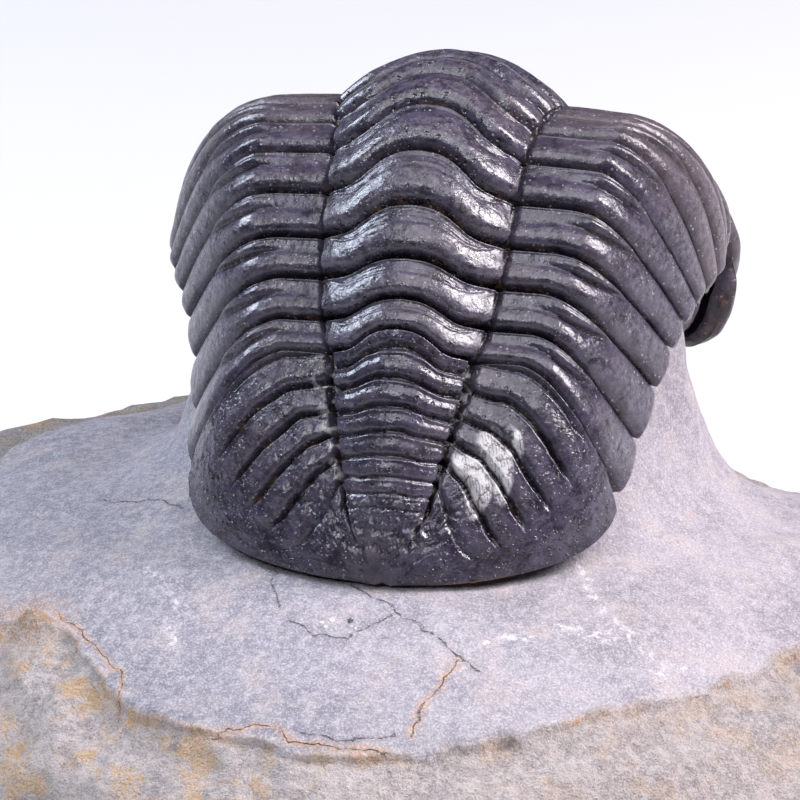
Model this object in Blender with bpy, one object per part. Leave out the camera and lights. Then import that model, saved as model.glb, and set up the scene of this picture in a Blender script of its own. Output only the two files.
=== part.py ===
"""Trilobite fossil standing on the pedestal of rock that it was prepared from.

The animal is flexed: its back rises from the tail, arches over and drops to the head.
Its plates are cut from one smooth envelope. A station is a place along the back: 0 is the joint
behind the head, 1 to 10 are the joints between the segments of the body, and 11 is the joint in
front of the tail. The head reaches on to station -1 and the tail to station 12.

Lengths are in millimetres and angles in degrees; they become metres and radians as a mesh is made.
The tail faces -Y, the head +Y, and the rock's flat base lies at Z = 0.
"""
import math

import bmesh
import bpy
import numpy as np

MM = 0.001

# sizes of the plates
SEGMENTS = 11
PLATE = 1.3
GAP = 0.33
INNER_STEP = 3
SEGMENT_ROWS = (0, 0.2, 0.33, 0.52, 0.75, 0.94, 1)
TIP_ROUND = 0.035
HEAD_STEPS = 6
TAIL_STEPS = 9
HEAD_ROW_POWER = 1.4
HEAD_LENGTH = 17.5
TAIL_LENGTH = 14.3

# tables of (station, value)
SLOPE = [(-1, -100), (-0.6, -78), (-0.2, -57), (0, -50), (2, -40), (4, -18), (5.5, 5), (6.5, 22),
         (7.5, 35), (9, 47), (11, 47), (11.4, 54), (11.75, 68), (12, 86)]
SEGMENT_LENGTH = [(0, 2.6), (3, 2.7), (7.5, 3.4), (8.5, 3.15), (9.5, 2.25), (11, 1.6)]
AXIS_HALF = [(-1, 5.0), (0, 6.3), (3, 6.1), (6, 5.3), (8, 5.1), (9.5, 4.7), (11, 3.8), (12, 1.4)]
AXIS_RISE = [(-0.5, 0), (0, 3.0), (3, 2.85), (6, 2.6), (9, 2.2), (11, 1.8), (11.6, 1.2), (11.9, 0), (12, 0)]
RING_BOW = [(-1, 0), (0, 1.0), (5, 1.7), (7, 1.75), (8, 1.5), (9, 1.0), (11, 1.15),
            (11.15, 0.7), (11.4, 0.25), (12, 0)]
FULCRUM = [(-1, 8.0), (0, 9.8), (4, 9.7), (7, 9.3), (9, 8.4), (11, 7.7), (11.4, 6.0), (12, 3.0)]
HALF_WIDTH = [(0, 15.2), (2, 15.6), (3.5, 16.0), (5.5, 15.6), (7.5, 14.5), (9.5, 13.3), (11, 12.4)]
TIP_Y = [(0, 20.0), (3.5, 15.2), (5.5, 12.2), (7.5, 9.4), (8.5, 7.8), (9.5, 5.3), (10.5, 2.2), (11, 0.9)]
TIP_Z = [(0, -5.5), (3.5, -4.6), (5.5, -4.4), (7.5, -5.4), (8.5, -6.5), (9.5, -8.2), (10.5, -9.8),
         (11, -10.6)]
FLANK_TURN = [(-1, 100), (0, 110), (1, 104), (3, 100), (5, 88), (6, 80), (12, 80)]
STRAIGHT = [(3, 0), (4.5, 0.35), (6, 0.9), (8, 1), (10, 1), (11, 0.2), (11.6, 0)]
LEAN = [(-0.2, 0), (1.5, -0.45), (5, -0.5), (7, -0.3), (9, -0.15), (11, -0.25), (11.5, -0.3), (12, 0)]

# the head's edge: (share of the head, half width), then the shares of the way to its front in Y and Z
HEAD_HALF = [(0, 15.2), (0.04, 15.7), (0.08, 15.4), (0.13, 14.4), (0.2, 13.1), (0.45, 11.7), (0.7, 9.5),
             (0.85, 6.9), (0.95, 3.8), (1, 0)]
HEAD_AHEAD = [(0, 0), (0.08, 0.1), (0.2, 0.24), (0.5, 0.58), (0.8, 0.9), (1, 1)]
HEAD_FALL = [(0, 0), (0.04, 0.3), (0.08, 0.56), (0.13, 0.82), (0.2, 0.94), (0.4, 1), (1, 1)]

# the tail's corner, how its edge runs round, and its fall as (share of the tail, share of the way down)
TAIL_CORNER = (12.4, 0.9, -10.6)
TAIL_FAN = 0.85
TAIL_DROP = [(0, 0), (0.12, 0.55), (0.3, 0.85), (1, 1)]

# how far the last rows of the head and the tail draw in at their corners
HEAD_CORNER_ROUND = 0.05
TAIL_CORNER_ROUND = 0.05

# shares of a plate's width where its parts meet, and the shapes of those parts
AXIS_EDGE = 0.27
FULCRUM_EDGE = 0.43
FLANK_POWER = 1.7
SWEEP_POWER = 1.6
SWEEP_START = 1.2
ARCH_POWER = 1.8
PLEURA_FALL = 0.06

# how far back a ring lies between its middle and its end, as a share of its bow
BOW = [(0, 0), (0.13, 0.07), (0.24, 0.27), (0.35, 0.6), (0.45, 0.88), (0.56, 0.99), (0.7, 1), (1, 1)]

# relief along a segment, front to back: (share of the segment, height)
RING = [(0, -0.75), (0.22, -0.6), (0.3, -0.7), (0.48, -0.15), (0.75, 0.15), (0.94, 0.05), (1, -0.1)]
PLEURA = [(0, -0.65), (0.14, -0.2), (0.5, 0), (0.75, 0.15), (0.94, 0.05), (1, -0.1)]
PLEURA_TIP = [(0, -0.75), (0.3, -0.55), (0.6, 0), (0.8, 0.1), (1, -0.1)]
FURROW_DEPTH = 0.5

# head: half width of the swollen middle lobe at distances forward of the joint, and the eyes
GLABELLA = [(0, 5.6), (2.6, 5.8), (3.2, 5.9), (6, 6.8), (9, 8.6), (12.5, 9.9), (15.5, 8.8), (17.4, 4.0)]
GLABELLA_HEIGHT = 2.6
OCCIPITAL_FURROW = 2.7
EYE_PLACE = (10.4, 9.6)
EYE_SIZE = (2.1, 3.4)
EYE_HEIGHT = 1.4

# tail: the rings and ribs counted off along it, and how far the ribs bend back on their way out
TAIL_RINGS = [(0, -0.4), (0.07, 0), (0.19, 1), (0.3, 2), (0.4, 3), (0.49, 4), (0.57, 5), (0.635, 6),
              (0.69, 7), (0.74, 8)]
TAIL_RIBS = [(-0.4, -3), (0, 0), (0.15, 1), (0.275, 2), (0.385, 3), (0.49, 4), (0.585, 5), (0.67, 6)]
RIB_BEND = [(0, 0), (0.08, 0.04), (0.15, 0.058), (0.21, 0.066), (0.3, 0.064), (0.45, 0.064), (0.6, 0.052),
            (1, 0.03)]

# rock: twelve spokes round the body, every 30 degrees from the tail by way of +X
HUB_Y = 14.0
BASE_Z = -31.0
FOOT = [(21.9, -12.9), (20.9, -13.3), (18.8, -15.2), (18.3, -18.3), (15.3, -21.0), (18.5, -22.5),
        (21.5, -22.5), (20.5, -21.8), (17.5, -20.0), (18.8, -17.5), (18.8, -15.0), (21.0, -13.2)]
PAD_EDGE = [(33.0, -15.0), (29.5, -15.3), (26.0, -17.0), (27.5, -20.5), (17.8, -24.5), (20.2, -25.5),
            (23.5, -25.5), (23.5, -25.0), (22.5, -21.5), (29.5, -19.5), (30.0, -17.0), (30.5, -15.4)]
RIM = [(39.0, -20.5), (37.0, -21.0), (37.0, -22.0), (36.5, -23.5), (24.0, -27.5), (22.5, -28.0),
       (25.5, -28.0), (27.0, -27.5), (28.5, -25.0), (36.5, -23.0), (38.0, -22.0), (37.5, -21.0)]
# how far the rock stands in under the head's corners: (degrees from the tail, distance)
TUCK = [(0, 0), (85, 0.2), (105, 1.2), (125, 1.6), (150, 1.2), (180, 0)]
SIDE_INSET = 0.6
BASE_INSET = 2.0
ROCK_BELOW = 0.45
PAD_RISE = 0.3

# rings down the rock: (share of the way out, share of the way down) from core to foot, and from pad to rim
WALL = [(0, 0), (0.12, 0.45), (0.45, 0.82)]
SHOULDER = (0.65, 0.45)
TAIL_ROOM = 0.55

SHELL = dict(colour=(0.035, 0.033, 0.038, 1), roughness=0.3, metallic=0.0)
ROCK = dict(colour=(0.42, 0.40, 0.42, 1), roughness=0.9, metallic=0.0)


def smooth(table, where):
    """Monotone cubic through the (place, value) pairs of a table, level beyond its ends."""
    xs, ys = np.array(table, float).T
    step = np.diff(xs)
    rise = np.diff(ys) / step
    tangent = np.zeros_like(xs)
    tangent[0], tangent[-1] = rise[0], rise[-1]
    same_way = rise[:-1] * rise[1:] > 0
    weight_a = 2 * step[1:] + step[:-1]
    weight_b = step[1:] + 2 * step[:-1]
    safe = np.where(same_way[:, None], np.stack([rise[:-1], rise[1:]], -1), 1.0)
    inner = (weight_a + weight_b) / (weight_a / safe[:, 0] + weight_b / safe[:, 1])
    tangent[1:-1] = np.where(same_way, inner, 0.0)
    where = np.asarray(where, float)
    i = np.clip(np.searchsorted(xs, where) - 1, 0, len(xs) - 2)
    t = np.clip((where - xs[i]) / step[i], 0, 1)
    return ((1 + 2 * t) * (1 - t) ** 2 * ys[i] + t * (1 - t) ** 2 * step[i] * tangent[i]
            + t * t * (3 - 2 * t) * ys[i + 1] + t * t * (t - 1) * step[i] * tangent[i + 1])


def ramp(low, high, value):
    """0 below low, 1 above high, eased between."""
    t = np.clip((value - low) / (high - low), 0, 1)
    return t * t * (3 - 2 * t)


def bump(value, centre, width):
    return np.exp(-((value - centre) / width) ** 2)


def walk_spine():
    """Stations with the Y, the Z and the slope of the back's centre line, from station 11."""
    station = np.linspace(-1, 12, 2601)
    slope = np.radians(smooth(SLOPE, station))
    length = smooth(SEGMENT_LENGTH, station)
    length = np.where(station < 0, HEAD_LENGTH, length)
    length = np.where(station > SEGMENTS, TAIL_LENGTH, length)
    step = -np.diff(station) * 0.5 * (length[1:] + length[:-1])
    middle = 0.5 * (slope[1:] + slope[:-1])
    y = np.concatenate([[0], np.cumsum(step * np.cos(middle))])
    z = np.concatenate([[0], np.cumsum(step * np.sin(middle))])
    here = int(round((SEGMENTS + 1) / 13 * 2600))
    return station, y - y[here], z - z[here]


SPINE = walk_spine()


def spine(station):
    y = np.interp(station, SPINE[0], SPINE[1])
    z = np.interp(station, SPINE[0], SPINE[2])
    return y, z, np.radians(smooth(SLOPE, station))


def margin(station):
    """Half width, Y and Z of the plates' outer edge at each station."""
    width = smooth(HALF_WIDTH, station)
    y = smooth(TIP_Y, station)
    z = smooth(TIP_Z, station)
    ahead = np.clip(-station, 0, 1)
    end_y, end_z, _ = spine(-1.0)
    width = np.where(station < 0, smooth(HEAD_HALF, ahead), width)
    y = np.where(station < 0, y + (end_y - y) * smooth(HEAD_AHEAD, ahead), y)
    z = np.where(station < 0, z + (end_z - z) * smooth(HEAD_FALL, ahead), z)
    behind = np.clip(station - SEGMENTS, 0, 1)
    turn = behind ** TAIL_FAN * math.pi / 2
    end_y, end_z, _ = spine(12.0)
    in_tail = station > SEGMENTS
    width = np.where(in_tail, TAIL_CORNER[0] * np.cos(turn), width)
    y = np.where(in_tail, TAIL_CORNER[1] + (end_y - TAIL_CORNER[1]) * np.sin(turn), y)
    z = np.where(in_tail, TAIL_CORNER[2] + (end_z - TAIL_CORNER[2]) * smooth(TAIL_DROP, behind), z)
    return width, y, z


def envelope(across, station):
    """Point of the smooth outer surface: across runs -1 to 1 from tip to tip."""
    across, station = np.broadcast_arrays(np.asarray(across, float), np.asarray(station, float))
    share = np.abs(across)
    y, z, slope = spine(station)
    half, tip_y, tip_z = margin(station)
    axis = np.minimum(smooth(AXIS_HALF, station), 0.45 * half)
    knee = np.minimum(smooth(FULCRUM, station), 0.7 * half)
    rise = smooth(AXIS_RISE, station)
    bow = smooth(RING_BOW, station)
    along = np.stack([np.cos(slope), np.sin(slope)], -1)
    out = np.stack([-np.sin(slope), np.cos(slope)], -1)
    tip = np.stack([tip_y - y, tip_z - z], -1)
    drop = -(tip * out).sum(-1)
    sweep = -(tip * along).sum(-1)
    knee_drop = rise + PLEURA_FALL * (knee - axis)
    in_axis = np.clip(share / AXIS_EDGE, 0, 1)
    in_pleura = np.clip((share - AXIS_EDGE) / (FULCRUM_EDGE - AXIS_EDGE), 0, 1)
    in_flank = np.clip((share - FULCRUM_EDGE) / (1 - FULCRUM_EDGE), 0, 1)
    whole_turn = np.radians(smooth(FLANK_TURN, station))
    turn = in_flank * whole_turn
    straight = smooth(STRAIGHT, station)
    fall = (1 - np.cos(turn)) / (1 - np.cos(whole_turn))
    fall = fall + (in_flank ** FLANK_POWER - fall) * straight
    spread = np.sin(turn) / np.sin(np.minimum(whole_turn, math.pi / 2))
    spread = spread + (in_flank - spread) * straight
    x = axis * np.sin(in_axis * math.pi / 2) + (knee - axis) * in_pleura + (half - knee) * spread
    down = (rise * (1 - np.cos(in_axis * math.pi / 2) ** ARCH_POWER) + (knee_drop - rise) * in_pleura
            + (drop - knee_drop) * fall)
    before = knee - SWEEP_START
    by_width = np.clip((x - before) / (half - before), 0, 1)
    in_sweep = (by_width + (in_flank - by_width) * ramp(0, 0.5, -station)) ** SWEEP_POWER
    back = bow * smooth(BOW, in_axis) + (sweep - bow) * in_sweep
    point = np.stack([y, z], -1) - out * down[..., None] - along * back[..., None]
    sideways = np.sign(across) * x + smooth(LEAN, station) * in_flank
    return np.stack([sideways, point[..., 0], point[..., 1]], -1)


def outward(across, station):
    """Unit normals of the envelope, pointing away from the rock."""
    h = 0.004
    near = np.clip(across, -1 + h, 1 - h)
    mid = np.clip(station, -1 + 0.02, 12 - 0.02)
    side = envelope(near + h, mid) - envelope(near - h, mid)
    ahead = envelope(near, mid - h) - envelope(near, mid + h)
    normal = np.cross(side, ahead)
    return normal / np.linalg.norm(normal, axis=-1, keepdims=True)


def surface(across, station, height):
    """Envelope point moved along its normal."""
    across, station = np.broadcast_arrays(np.asarray(across, float), np.asarray(station, float))
    return envelope(across, station) + outward(across, station) * np.asarray(height)[..., None]


def segment_relief(across, share):
    """Height of a body segment's surface: share runs 0 at its front edge to 1 at its back."""
    side = np.abs(across)
    outside = np.clip((side - AXIS_EDGE) / (1 - AXIS_EDGE), 0, 1)
    furrow_at = 0.24 + 0.3 * outside
    furrow = FURROW_DEPTH * (1 - ramp(0.35, 0.75, outside)) * bump(share, furrow_at, 0.1)
    pleura = smooth(PLEURA, share) * (1 - ramp(0.3, 0.8, outside))
    pleura = pleura + smooth(PLEURA_TIP, share) * ramp(0.3, 0.8, outside) - furrow
    on_axis = 1 - ramp(AXIS_EDGE - 0.03, AXIS_EDGE + 0.01, side)
    height = smooth(RING, share) * on_axis + pleura * (1 - on_axis)
    return height - 0.45 * bump(side, AXIS_EDGE, 0.02)


def head_relief(across, station):
    """Height of the head's surface above its envelope."""
    base = envelope(across, station)
    x = np.abs(base[..., 0])
    y, z, slope = spine(station)
    ahead = (base[..., 1] - y) * np.cos(slope) + (base[..., 2] - z) * np.sin(slope)
    arc = -HEAD_LENGTH * station + ahead
    inside = smooth(GLABELLA, arc) - x
    swell = GLABELLA_HEIGHT * (0.25 + 0.75 * ramp(1.5, 11, arc)) * (1 - 0.6 * ramp(15.5, 18.2, arc))
    glabella = swell * ramp(-0.2, 3.4, inside) - 0.45 * bump(inside, -0.5, 0.6)
    occipital = -0.8 * bump(arc, OCCIPITAL_FURROW, 0.5) * ramp(-0.5, 0.3, inside)
    outward_x = (x - EYE_PLACE[0]) / EYE_SIZE[0]
    forward = (arc - EYE_PLACE[1]) / EYE_SIZE[1]
    eye = EYE_HEIGHT * ramp(0, 0.75, 1.25 - np.hypot(outward_x + 0.25 * forward ** 2, forward))
    border = -0.45 * bump(np.abs(across), 0.9, 0.035) * ramp(9.5, 11.5, x)
    back_furrow = -0.4 * bump(arc, 1.9, 0.5) * ramp(6.2, 7.2, x)
    return glabella + occipital + eye + border + back_furrow


def wave(count, sharpness):
    """Rounded ridges with narrow grooves between them, one for each whole number passed."""
    return 1 - np.abs(np.cos(math.pi * count)) ** sharpness


def tail_relief(across, station):
    """Height of the tail's surface: rings on the axis, ribs beside it, a smooth border."""
    side = np.abs(across)
    share = station - SEGMENTS
    outside = np.clip((side - AXIS_EDGE) / (1 - AXIS_EDGE), 0, 1)
    rings = 0.6 * wave(smooth(TAIL_RINGS, share), 3) * (1 - 0.5 * share) - 0.45
    bend = smooth(RIB_BEND, outside) * (0.5 + 1.6 * share)
    ribs = 0.55 * wave(smooth(TAIL_RIBS, share - bend), 2) - 0.45
    on_axis = 1 - ramp(AXIS_EDGE - 0.03, AXIS_EDGE + 0.01, side)
    rings_fade = 1 - ramp(0.7, 0.85, share)
    ribs_fade = (1 - ramp(0.5, 0.66, outside)) * (1 - ramp(0.52, 0.78, share))
    height = rings * rings_fade * on_axis + ribs * ribs_fade * (1 - on_axis)
    return height - 0.5 * bump(side, AXIS_EDGE, 0.025) * (1 - ramp(0.7, 0.88, share))


def columns(steps_axis, steps_pleura, steps_flank):
    """Places across a plate, tip to tip, closer where the surface turns more."""
    axis = np.linspace(0, AXIS_EDGE, steps_axis + 1)
    pleura = np.linspace(AXIS_EDGE, FULCRUM_EDGE, steps_pleura + 1)[1:]
    flank = np.linspace(FULCRUM_EDGE, 1, steps_flank + 1)[1:]
    half = np.concatenate([axis, pleura, flank])
    return np.concatenate([-half[:0:-1], half])


def add_grid(mesh, grid, flip):
    """Faces over a grid of points; returns the grid of vertices."""
    rows, cols = grid.shape[:2]
    verts = [[mesh.verts.new(tuple(grid[i, j] * MM)) for j in range(cols)] for i in range(rows)]
    for i in range(rows - 1):
        for j in range(cols - 1):
            ring = [verts[i][j], verts[i][j + 1], verts[i + 1][j + 1], verts[i + 1][j]]
            mesh.faces.new(ring[::-1] if flip else ring)
    return verts


def close_band(mesh, first, second):
    """Quads between two chains of vertices."""
    for a, b, c, d in zip(first, first[1:], second[1:], second):
        mesh.faces.new([a, b, c, d])


def finish(name, mesh, material):
    """Turn the faces outwards and add the object."""
    bmesh.ops.recalc_face_normals(mesh, faces=mesh.faces)
    bmesh.ops.triangulate(mesh, faces=mesh.faces)
    data = bpy.data.meshes.new(name)
    mesh.to_mesh(data)
    mesh.free()
    data.shade_smooth()
    data.set_sharp_from_angle(angle=math.radians(40))
    data.materials.append(material)
    thing = bpy.data.objects.new(name, data)
    bpy.context.scene.collection.objects.link(thing)
    return thing


def placed(points):
    """From the body's own frame to the part's: the base at Z = 0, under the middle of the rock."""
    return points - np.array([ROCK_CENTRE[0], ROCK_CENTRE[1], BASE_Z])


def thoracic_segment(number, material):
    """One curved plate of the body; its ends are rounded and it stands clear of its neighbours."""
    across = columns(4, 2, 5)
    shares = np.array(SEGMENT_ROWS)
    front = envelope(across, number - 1.0)
    back = envelope(across, float(number))
    clear = 0.5 * GAP / np.linalg.norm(back - front, axis=-1)
    shares_grid = shares[:, None] + 0 * across[None, :]
    station = number - 1 + clear[None, :] + shares_grid * (1 - 2 * clear[None, :])
    round_end = TIP_ROUND * (2 * shares_grid - 1) ** 4
    beyond = ramp(FULCRUM_EDGE, 1, np.abs(across))[None, :]
    reach = across[None, :] * (1 - round_end * beyond)
    outer = placed(surface(reach, station, segment_relief(reach, shares_grid)))
    ends = [0, -1]
    inner = placed(surface(reach[ends], station[ends], np.full_like(reach[ends], -PLATE)))
    mesh = bmesh.new()
    top = add_grid(mesh, outer, False)
    under = add_grid(mesh, inner, True)
    close_band(mesh, top[0], under[0])
    close_band(mesh, under[1], top[-1])
    for col in (0, -1):
        rim = [row[col] for row in top] + [under[1][col], under[0][col]]
        mesh.faces.new(rim)
    return finish(f"thoracic_segment_{number:02d}", mesh, material)


def shield_rows(stations, across, corner_round):
    """Stations and places of a head's or a tail's rows but the last, drawn in at the corners."""
    rows, cols = np.meshgrid(stations[:-1], across, indexing="ij")
    left = (stations[-1] - rows) / (stations[-1] - stations[0])
    return rows + corner_round * (ramp(0.72, 1, np.abs(cols)) * left) ** 2, cols


def shield(name, stations, across, corner_round, relief, material):
    """Head or tail: a curved plate whose rows run together at a pole on the centre line."""
    rows, cols = shield_rows(stations, across, corner_round)
    outer = placed(surface(cols, rows, relief(cols, rows)))
    under_rows = slice(None, None, INNER_STEP)
    inner = placed(surface(cols, rows, np.full_like(cols, -PLATE)))[under_rows]
    pole = placed(surface(0.0, stations[-1], relief(np.array(0.0), stations[-1])))
    inner_pole = placed(surface(0.0, stations[-1], np.array(-PLATE)))
    mesh = bmesh.new()
    top = add_grid(mesh, outer, False)
    under = add_grid(mesh, inner, True)
    close_band(mesh, top[0], under[0])
    tip = mesh.verts.new(tuple(pole * MM))
    inner_tip = mesh.verts.new(tuple(inner_pole * MM))
    for a, b in zip(top[-1], top[-1][1:]):
        mesh.faces.new([a, b, tip])
    for a, b in zip(under[-1], under[-1][1:]):
        mesh.faces.new([b, a, inner_tip])
    for col in (0, -1):
        edge = [row[col] for row in top] + [tip]
        inner_edge = [row[col] for row in under] + [inner_tip]
        for i in range(len(inner_edge) - 1):
            reach = edge[i * INNER_STEP:(i + 1) * INNER_STEP + 1]
            mesh.faces.new(reach + [inner_edge[i + 1], inner_edge[i]])
    return finish(name, mesh, material)


def around(loop, angle):
    """Radius and height of a loop of spokes at an angle, smooth all the way round."""
    turns = np.arange(-2, 15) * 30.0
    radius = [loop[k % 12][0] for k in range(-2, 15)]
    height = [loop[k % 12][1] for k in range(-2, 15)]
    degrees = np.degrees(angle) % 360
    return smooth(list(zip(turns, radius)), degrees), smooth(list(zip(turns, height)), degrees)


def ring_at(angle, radius, height):
    return np.stack([radius * np.sin(angle), HUB_Y - radius * np.cos(angle), height], -1)


def rock_centre():
    """Middle of the rock's outline, seen from above."""
    angle = np.radians(np.arange(0, 360, 2))
    outline = ring_at(angle, *around(RIM, angle))
    return 0.5 * (outline[:, :2].min(0) + outline[:, :2].max(0))


ROCK_CENTRE = rock_centre()


def rock_rings(boundary, edge):
    """Rings of points from the edge of the rock's core down to the base."""
    angle = np.arctan2(boundary[:, 0], HUB_Y - boundary[:, 1])
    radius = np.hypot(boundary[:, 0], HUB_Y - boundary[:, 1]) - smooth(TUCK, np.degrees(np.abs(angle)))
    below = np.minimum(boundary[:, 2], edge[:, 2]) - ROCK_BELOW
    foot_r, foot_z = around(FOOT, angle)
    edge_r, edge_z = around(PAD_EDGE, angle)
    rim_r, rim_z = around(RIM, angle)
    wall = [(radius + out * (foot_r - radius), below + down * (foot_z - below)) for out, down in WALL]
    out, down = SHOULDER
    places = wall + [(foot_r, foot_z),
                     (0.5 * (foot_r + edge_r), 0.5 * (foot_z + edge_z) + PAD_RISE),
                     (edge_r, edge_z),
                     (edge_r + out * (rim_r - edge_r), edge_z + down * (rim_z - edge_z)),
                     (rim_r, rim_z),
                     (rim_r - SIDE_INSET, 0.5 * (rim_z + BASE_Z)),
                     (rim_r - BASE_INSET, np.full_like(rim_z, BASE_Z))]
    return [ring_at(angle, r, z) for r, z in places]


def head_rows():
    """Stations of the head's rows, closer together behind, where its edge turns down."""
    first = 0.5 * GAP / HEAD_LENGTH
    return -first - (1 - first) * np.linspace(0, 1, HEAD_STEPS * INNER_STEP + 1) ** HEAD_ROW_POWER


def tail_rows():
    return SEGMENTS + np.linspace(0.5 * GAP / TAIL_LENGTH, 1, TAIL_STEPS * INNER_STEP + 1)


def core_depth(station):
    """How far the rock's core lies under the envelope: a plate and a gap, and more at the tail's end."""
    return PLATE + GAP + TAIL_ROOM * ramp(11.3, 11.9, station)


def matrix_rock(material):
    """The rock: a core that fills the plates, the pedestal, the pad round it and a flat base."""
    across = columns(3, 1, 4)
    in_head, _ = shield_rows(head_rows()[::INNER_STEP], across, -HEAD_CORNER_ROUND)
    in_tail, _ = shield_rows(tail_rows()[::INNER_STEP], across, TAIL_CORNER_ROUND)
    in_body = np.arange(0.0, SEGMENTS + 1)[:, None] + 0 * across
    rows = np.concatenate([in_head[:0:-1], in_body, in_tail[1:]])
    grid = surface(across, rows, -core_depth(rows))
    poles = [surface(0.0, s, -core_depth(s)) for s in (-1.0, 12.0)]
    right, left = envelope(1.0, rows[:, -1]), envelope(-1.0, rows[:, 0])
    loop = np.concatenate([[poles[1]], grid[::-1, -1], [poles[0]], grid[:, 0]])
    edge = np.concatenate([[envelope(0.0, 12.0)], right[::-1], [envelope(0.0, -1.0)], left])
    mesh = bmesh.new()
    top = add_grid(mesh, placed(grid), False)
    front_pole = mesh.verts.new(tuple(placed(poles[0]) * MM))
    back_pole = mesh.verts.new(tuple(placed(poles[1]) * MM))
    for pole, row in ((front_pole, top[0][::-1]), (back_pole, top[-1])):
        for a, b in zip(row, row[1:]):
            mesh.faces.new([a, b, pole])
    chain = [back_pole] + [row[-1] for row in top[::-1]] + [front_pole] + [row[0] for row in top]
    for points in rock_rings(loop, edge):
        ring = [mesh.verts.new(tuple(p)) for p in placed(points) * MM]
        close_band(mesh, chain + chain[:1], ring + ring[:1])
        chain = ring
    mesh.faces.new(chain)
    return finish("matrix_rock", mesh, material)


def make_material(name, look):
    material = bpy.data.materials.new(name)
    material.use_nodes = True
    shader = material.node_tree.nodes["Principled BSDF"]
    shader.inputs["Base Color"].default_value = look["colour"]
    shader.inputs["Roughness"].default_value = look["roughness"]
    shader.inputs["Metallic"].default_value = look["metallic"]
    material.diffuse_color = look["colour"]
    return material


def build():
    for thing in list(bpy.data.objects):
        bpy.data.objects.remove(thing)
    shell = make_material("fossil_shell", SHELL)
    rock = make_material("matrix", ROCK)
    matrix_rock(rock)
    shield("cephalon", head_rows(), columns(4, 3, 8), -HEAD_CORNER_ROUND, head_relief, shell)
    for number in range(1, SEGMENTS + 1):
        thoracic_segment(number, shell)
    shield("pygidium", tail_rows(), columns(4, 3, 7), TAIL_CORNER_ROUND, tail_relief, shell)


build()
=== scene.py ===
"""Looks of the trilobite fossil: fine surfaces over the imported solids, materials, light and camera.

The plates and the rock follow the same envelope as the solids that they replace. Lengths are in
millimetres in the body's own frame until a mesh is made: the back's centre line meets the tail at
the origin, the tail faces -Y and the head +Y.
"""
import math

import bpy
import numpy as np
from mathutils import Matrix, Vector


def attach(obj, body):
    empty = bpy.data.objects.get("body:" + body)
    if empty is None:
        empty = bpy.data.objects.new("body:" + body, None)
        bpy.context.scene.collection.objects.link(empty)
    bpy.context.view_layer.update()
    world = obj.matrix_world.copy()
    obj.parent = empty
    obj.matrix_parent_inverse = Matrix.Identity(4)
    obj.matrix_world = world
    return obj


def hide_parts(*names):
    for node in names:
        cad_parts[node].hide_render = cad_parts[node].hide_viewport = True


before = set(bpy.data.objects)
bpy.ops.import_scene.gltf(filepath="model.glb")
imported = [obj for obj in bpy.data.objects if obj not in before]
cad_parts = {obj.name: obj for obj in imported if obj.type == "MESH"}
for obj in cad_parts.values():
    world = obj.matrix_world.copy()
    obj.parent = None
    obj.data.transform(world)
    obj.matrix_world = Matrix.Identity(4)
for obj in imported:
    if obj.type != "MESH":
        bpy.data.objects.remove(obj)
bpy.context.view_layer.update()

MM = 0.001

# the envelope, as the solids have it
SEGMENTS = 11
# stations run along the back: the head from FRONT to 0, a segment to each unit, the tail up to BACK
FRONT = -1.0
BACK = SEGMENTS + 1.0
SPINE_STEPS = 2600
PLATE = 1.3
HEAD_LENGTH = 17.5
TAIL_LENGTH = 14.3
# tables of (station, value)
SLOPE = [(-1, -100), (-0.6, -78), (-0.2, -57), (0, -50), (2, -40), (4, -18), (5.5, 5), (6.5, 22),
         (7.5, 35), (9, 47), (11, 47), (11.4, 54), (11.75, 68), (12, 86)]
SEGMENT_LENGTH = [(0, 2.6), (3, 2.7), (7.5, 3.4), (8.5, 3.15), (9.5, 2.25), (11, 1.6)]
AXIS_HALF = [(-1, 5), (0, 6.3), (3, 6.1), (6, 5.3), (8, 5.1), (9.5, 4.7), (11, 3.8), (12, 1.4)]
AXIS_RISE = [(-0.5, 0), (0, 3), (3, 2.85), (6, 2.6), (9, 2.2), (11, 1.8), (11.6, 1.2), (11.9, 0),
             (12, 0)]
RING_BOW = [(-1, 0), (0, 1), (5, 1.7), (7, 1.75), (8, 1.5), (9, 1), (11, 1.15),
            (11.15, 0.7), (11.4, 0.25), (12, 0)]
FULCRUM = [(-1, 8), (0, 9.8), (4, 9.7), (7, 9.3), (9, 8.4), (11, 7.7), (11.4, 6), (12, 3)]
HALF_WIDTH = [(0, 15.2), (2, 15.6), (3.5, 16), (5.5, 15.6), (7.5, 14.5), (9.5, 13.3), (11, 12.4)]
TIP_Y = [(0, 20), (3.5, 15.2), (5.5, 12.2), (7.5, 9.4), (8.5, 7.8), (9.5, 5.3), (10.5, 2.2), (11, 0.9)]
TIP_Z = [(0, -5.5), (3.5, -4.6), (5.5, -4.4), (7.5, -5.4), (8.5, -6.5), (9.5, -8.2), (10.5, -9.8),
         (11, -10.6)]
FLANK_TURN = [(-1, 100), (0, 110), (1, 104), (3, 100), (5, 88), (6, 80), (12, 80)]
STRAIGHT = [(3, 0), (4.5, 0.35), (6, 0.9), (8, 1), (10, 1), (11, 0.2), (11.6, 0)]
LEAN = [(-0.2, 0), (1.5, -0.45), (5, -0.5), (7, -0.3), (9, -0.15), (11, -0.25), (11.5, -0.3), (12, 0)]

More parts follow.
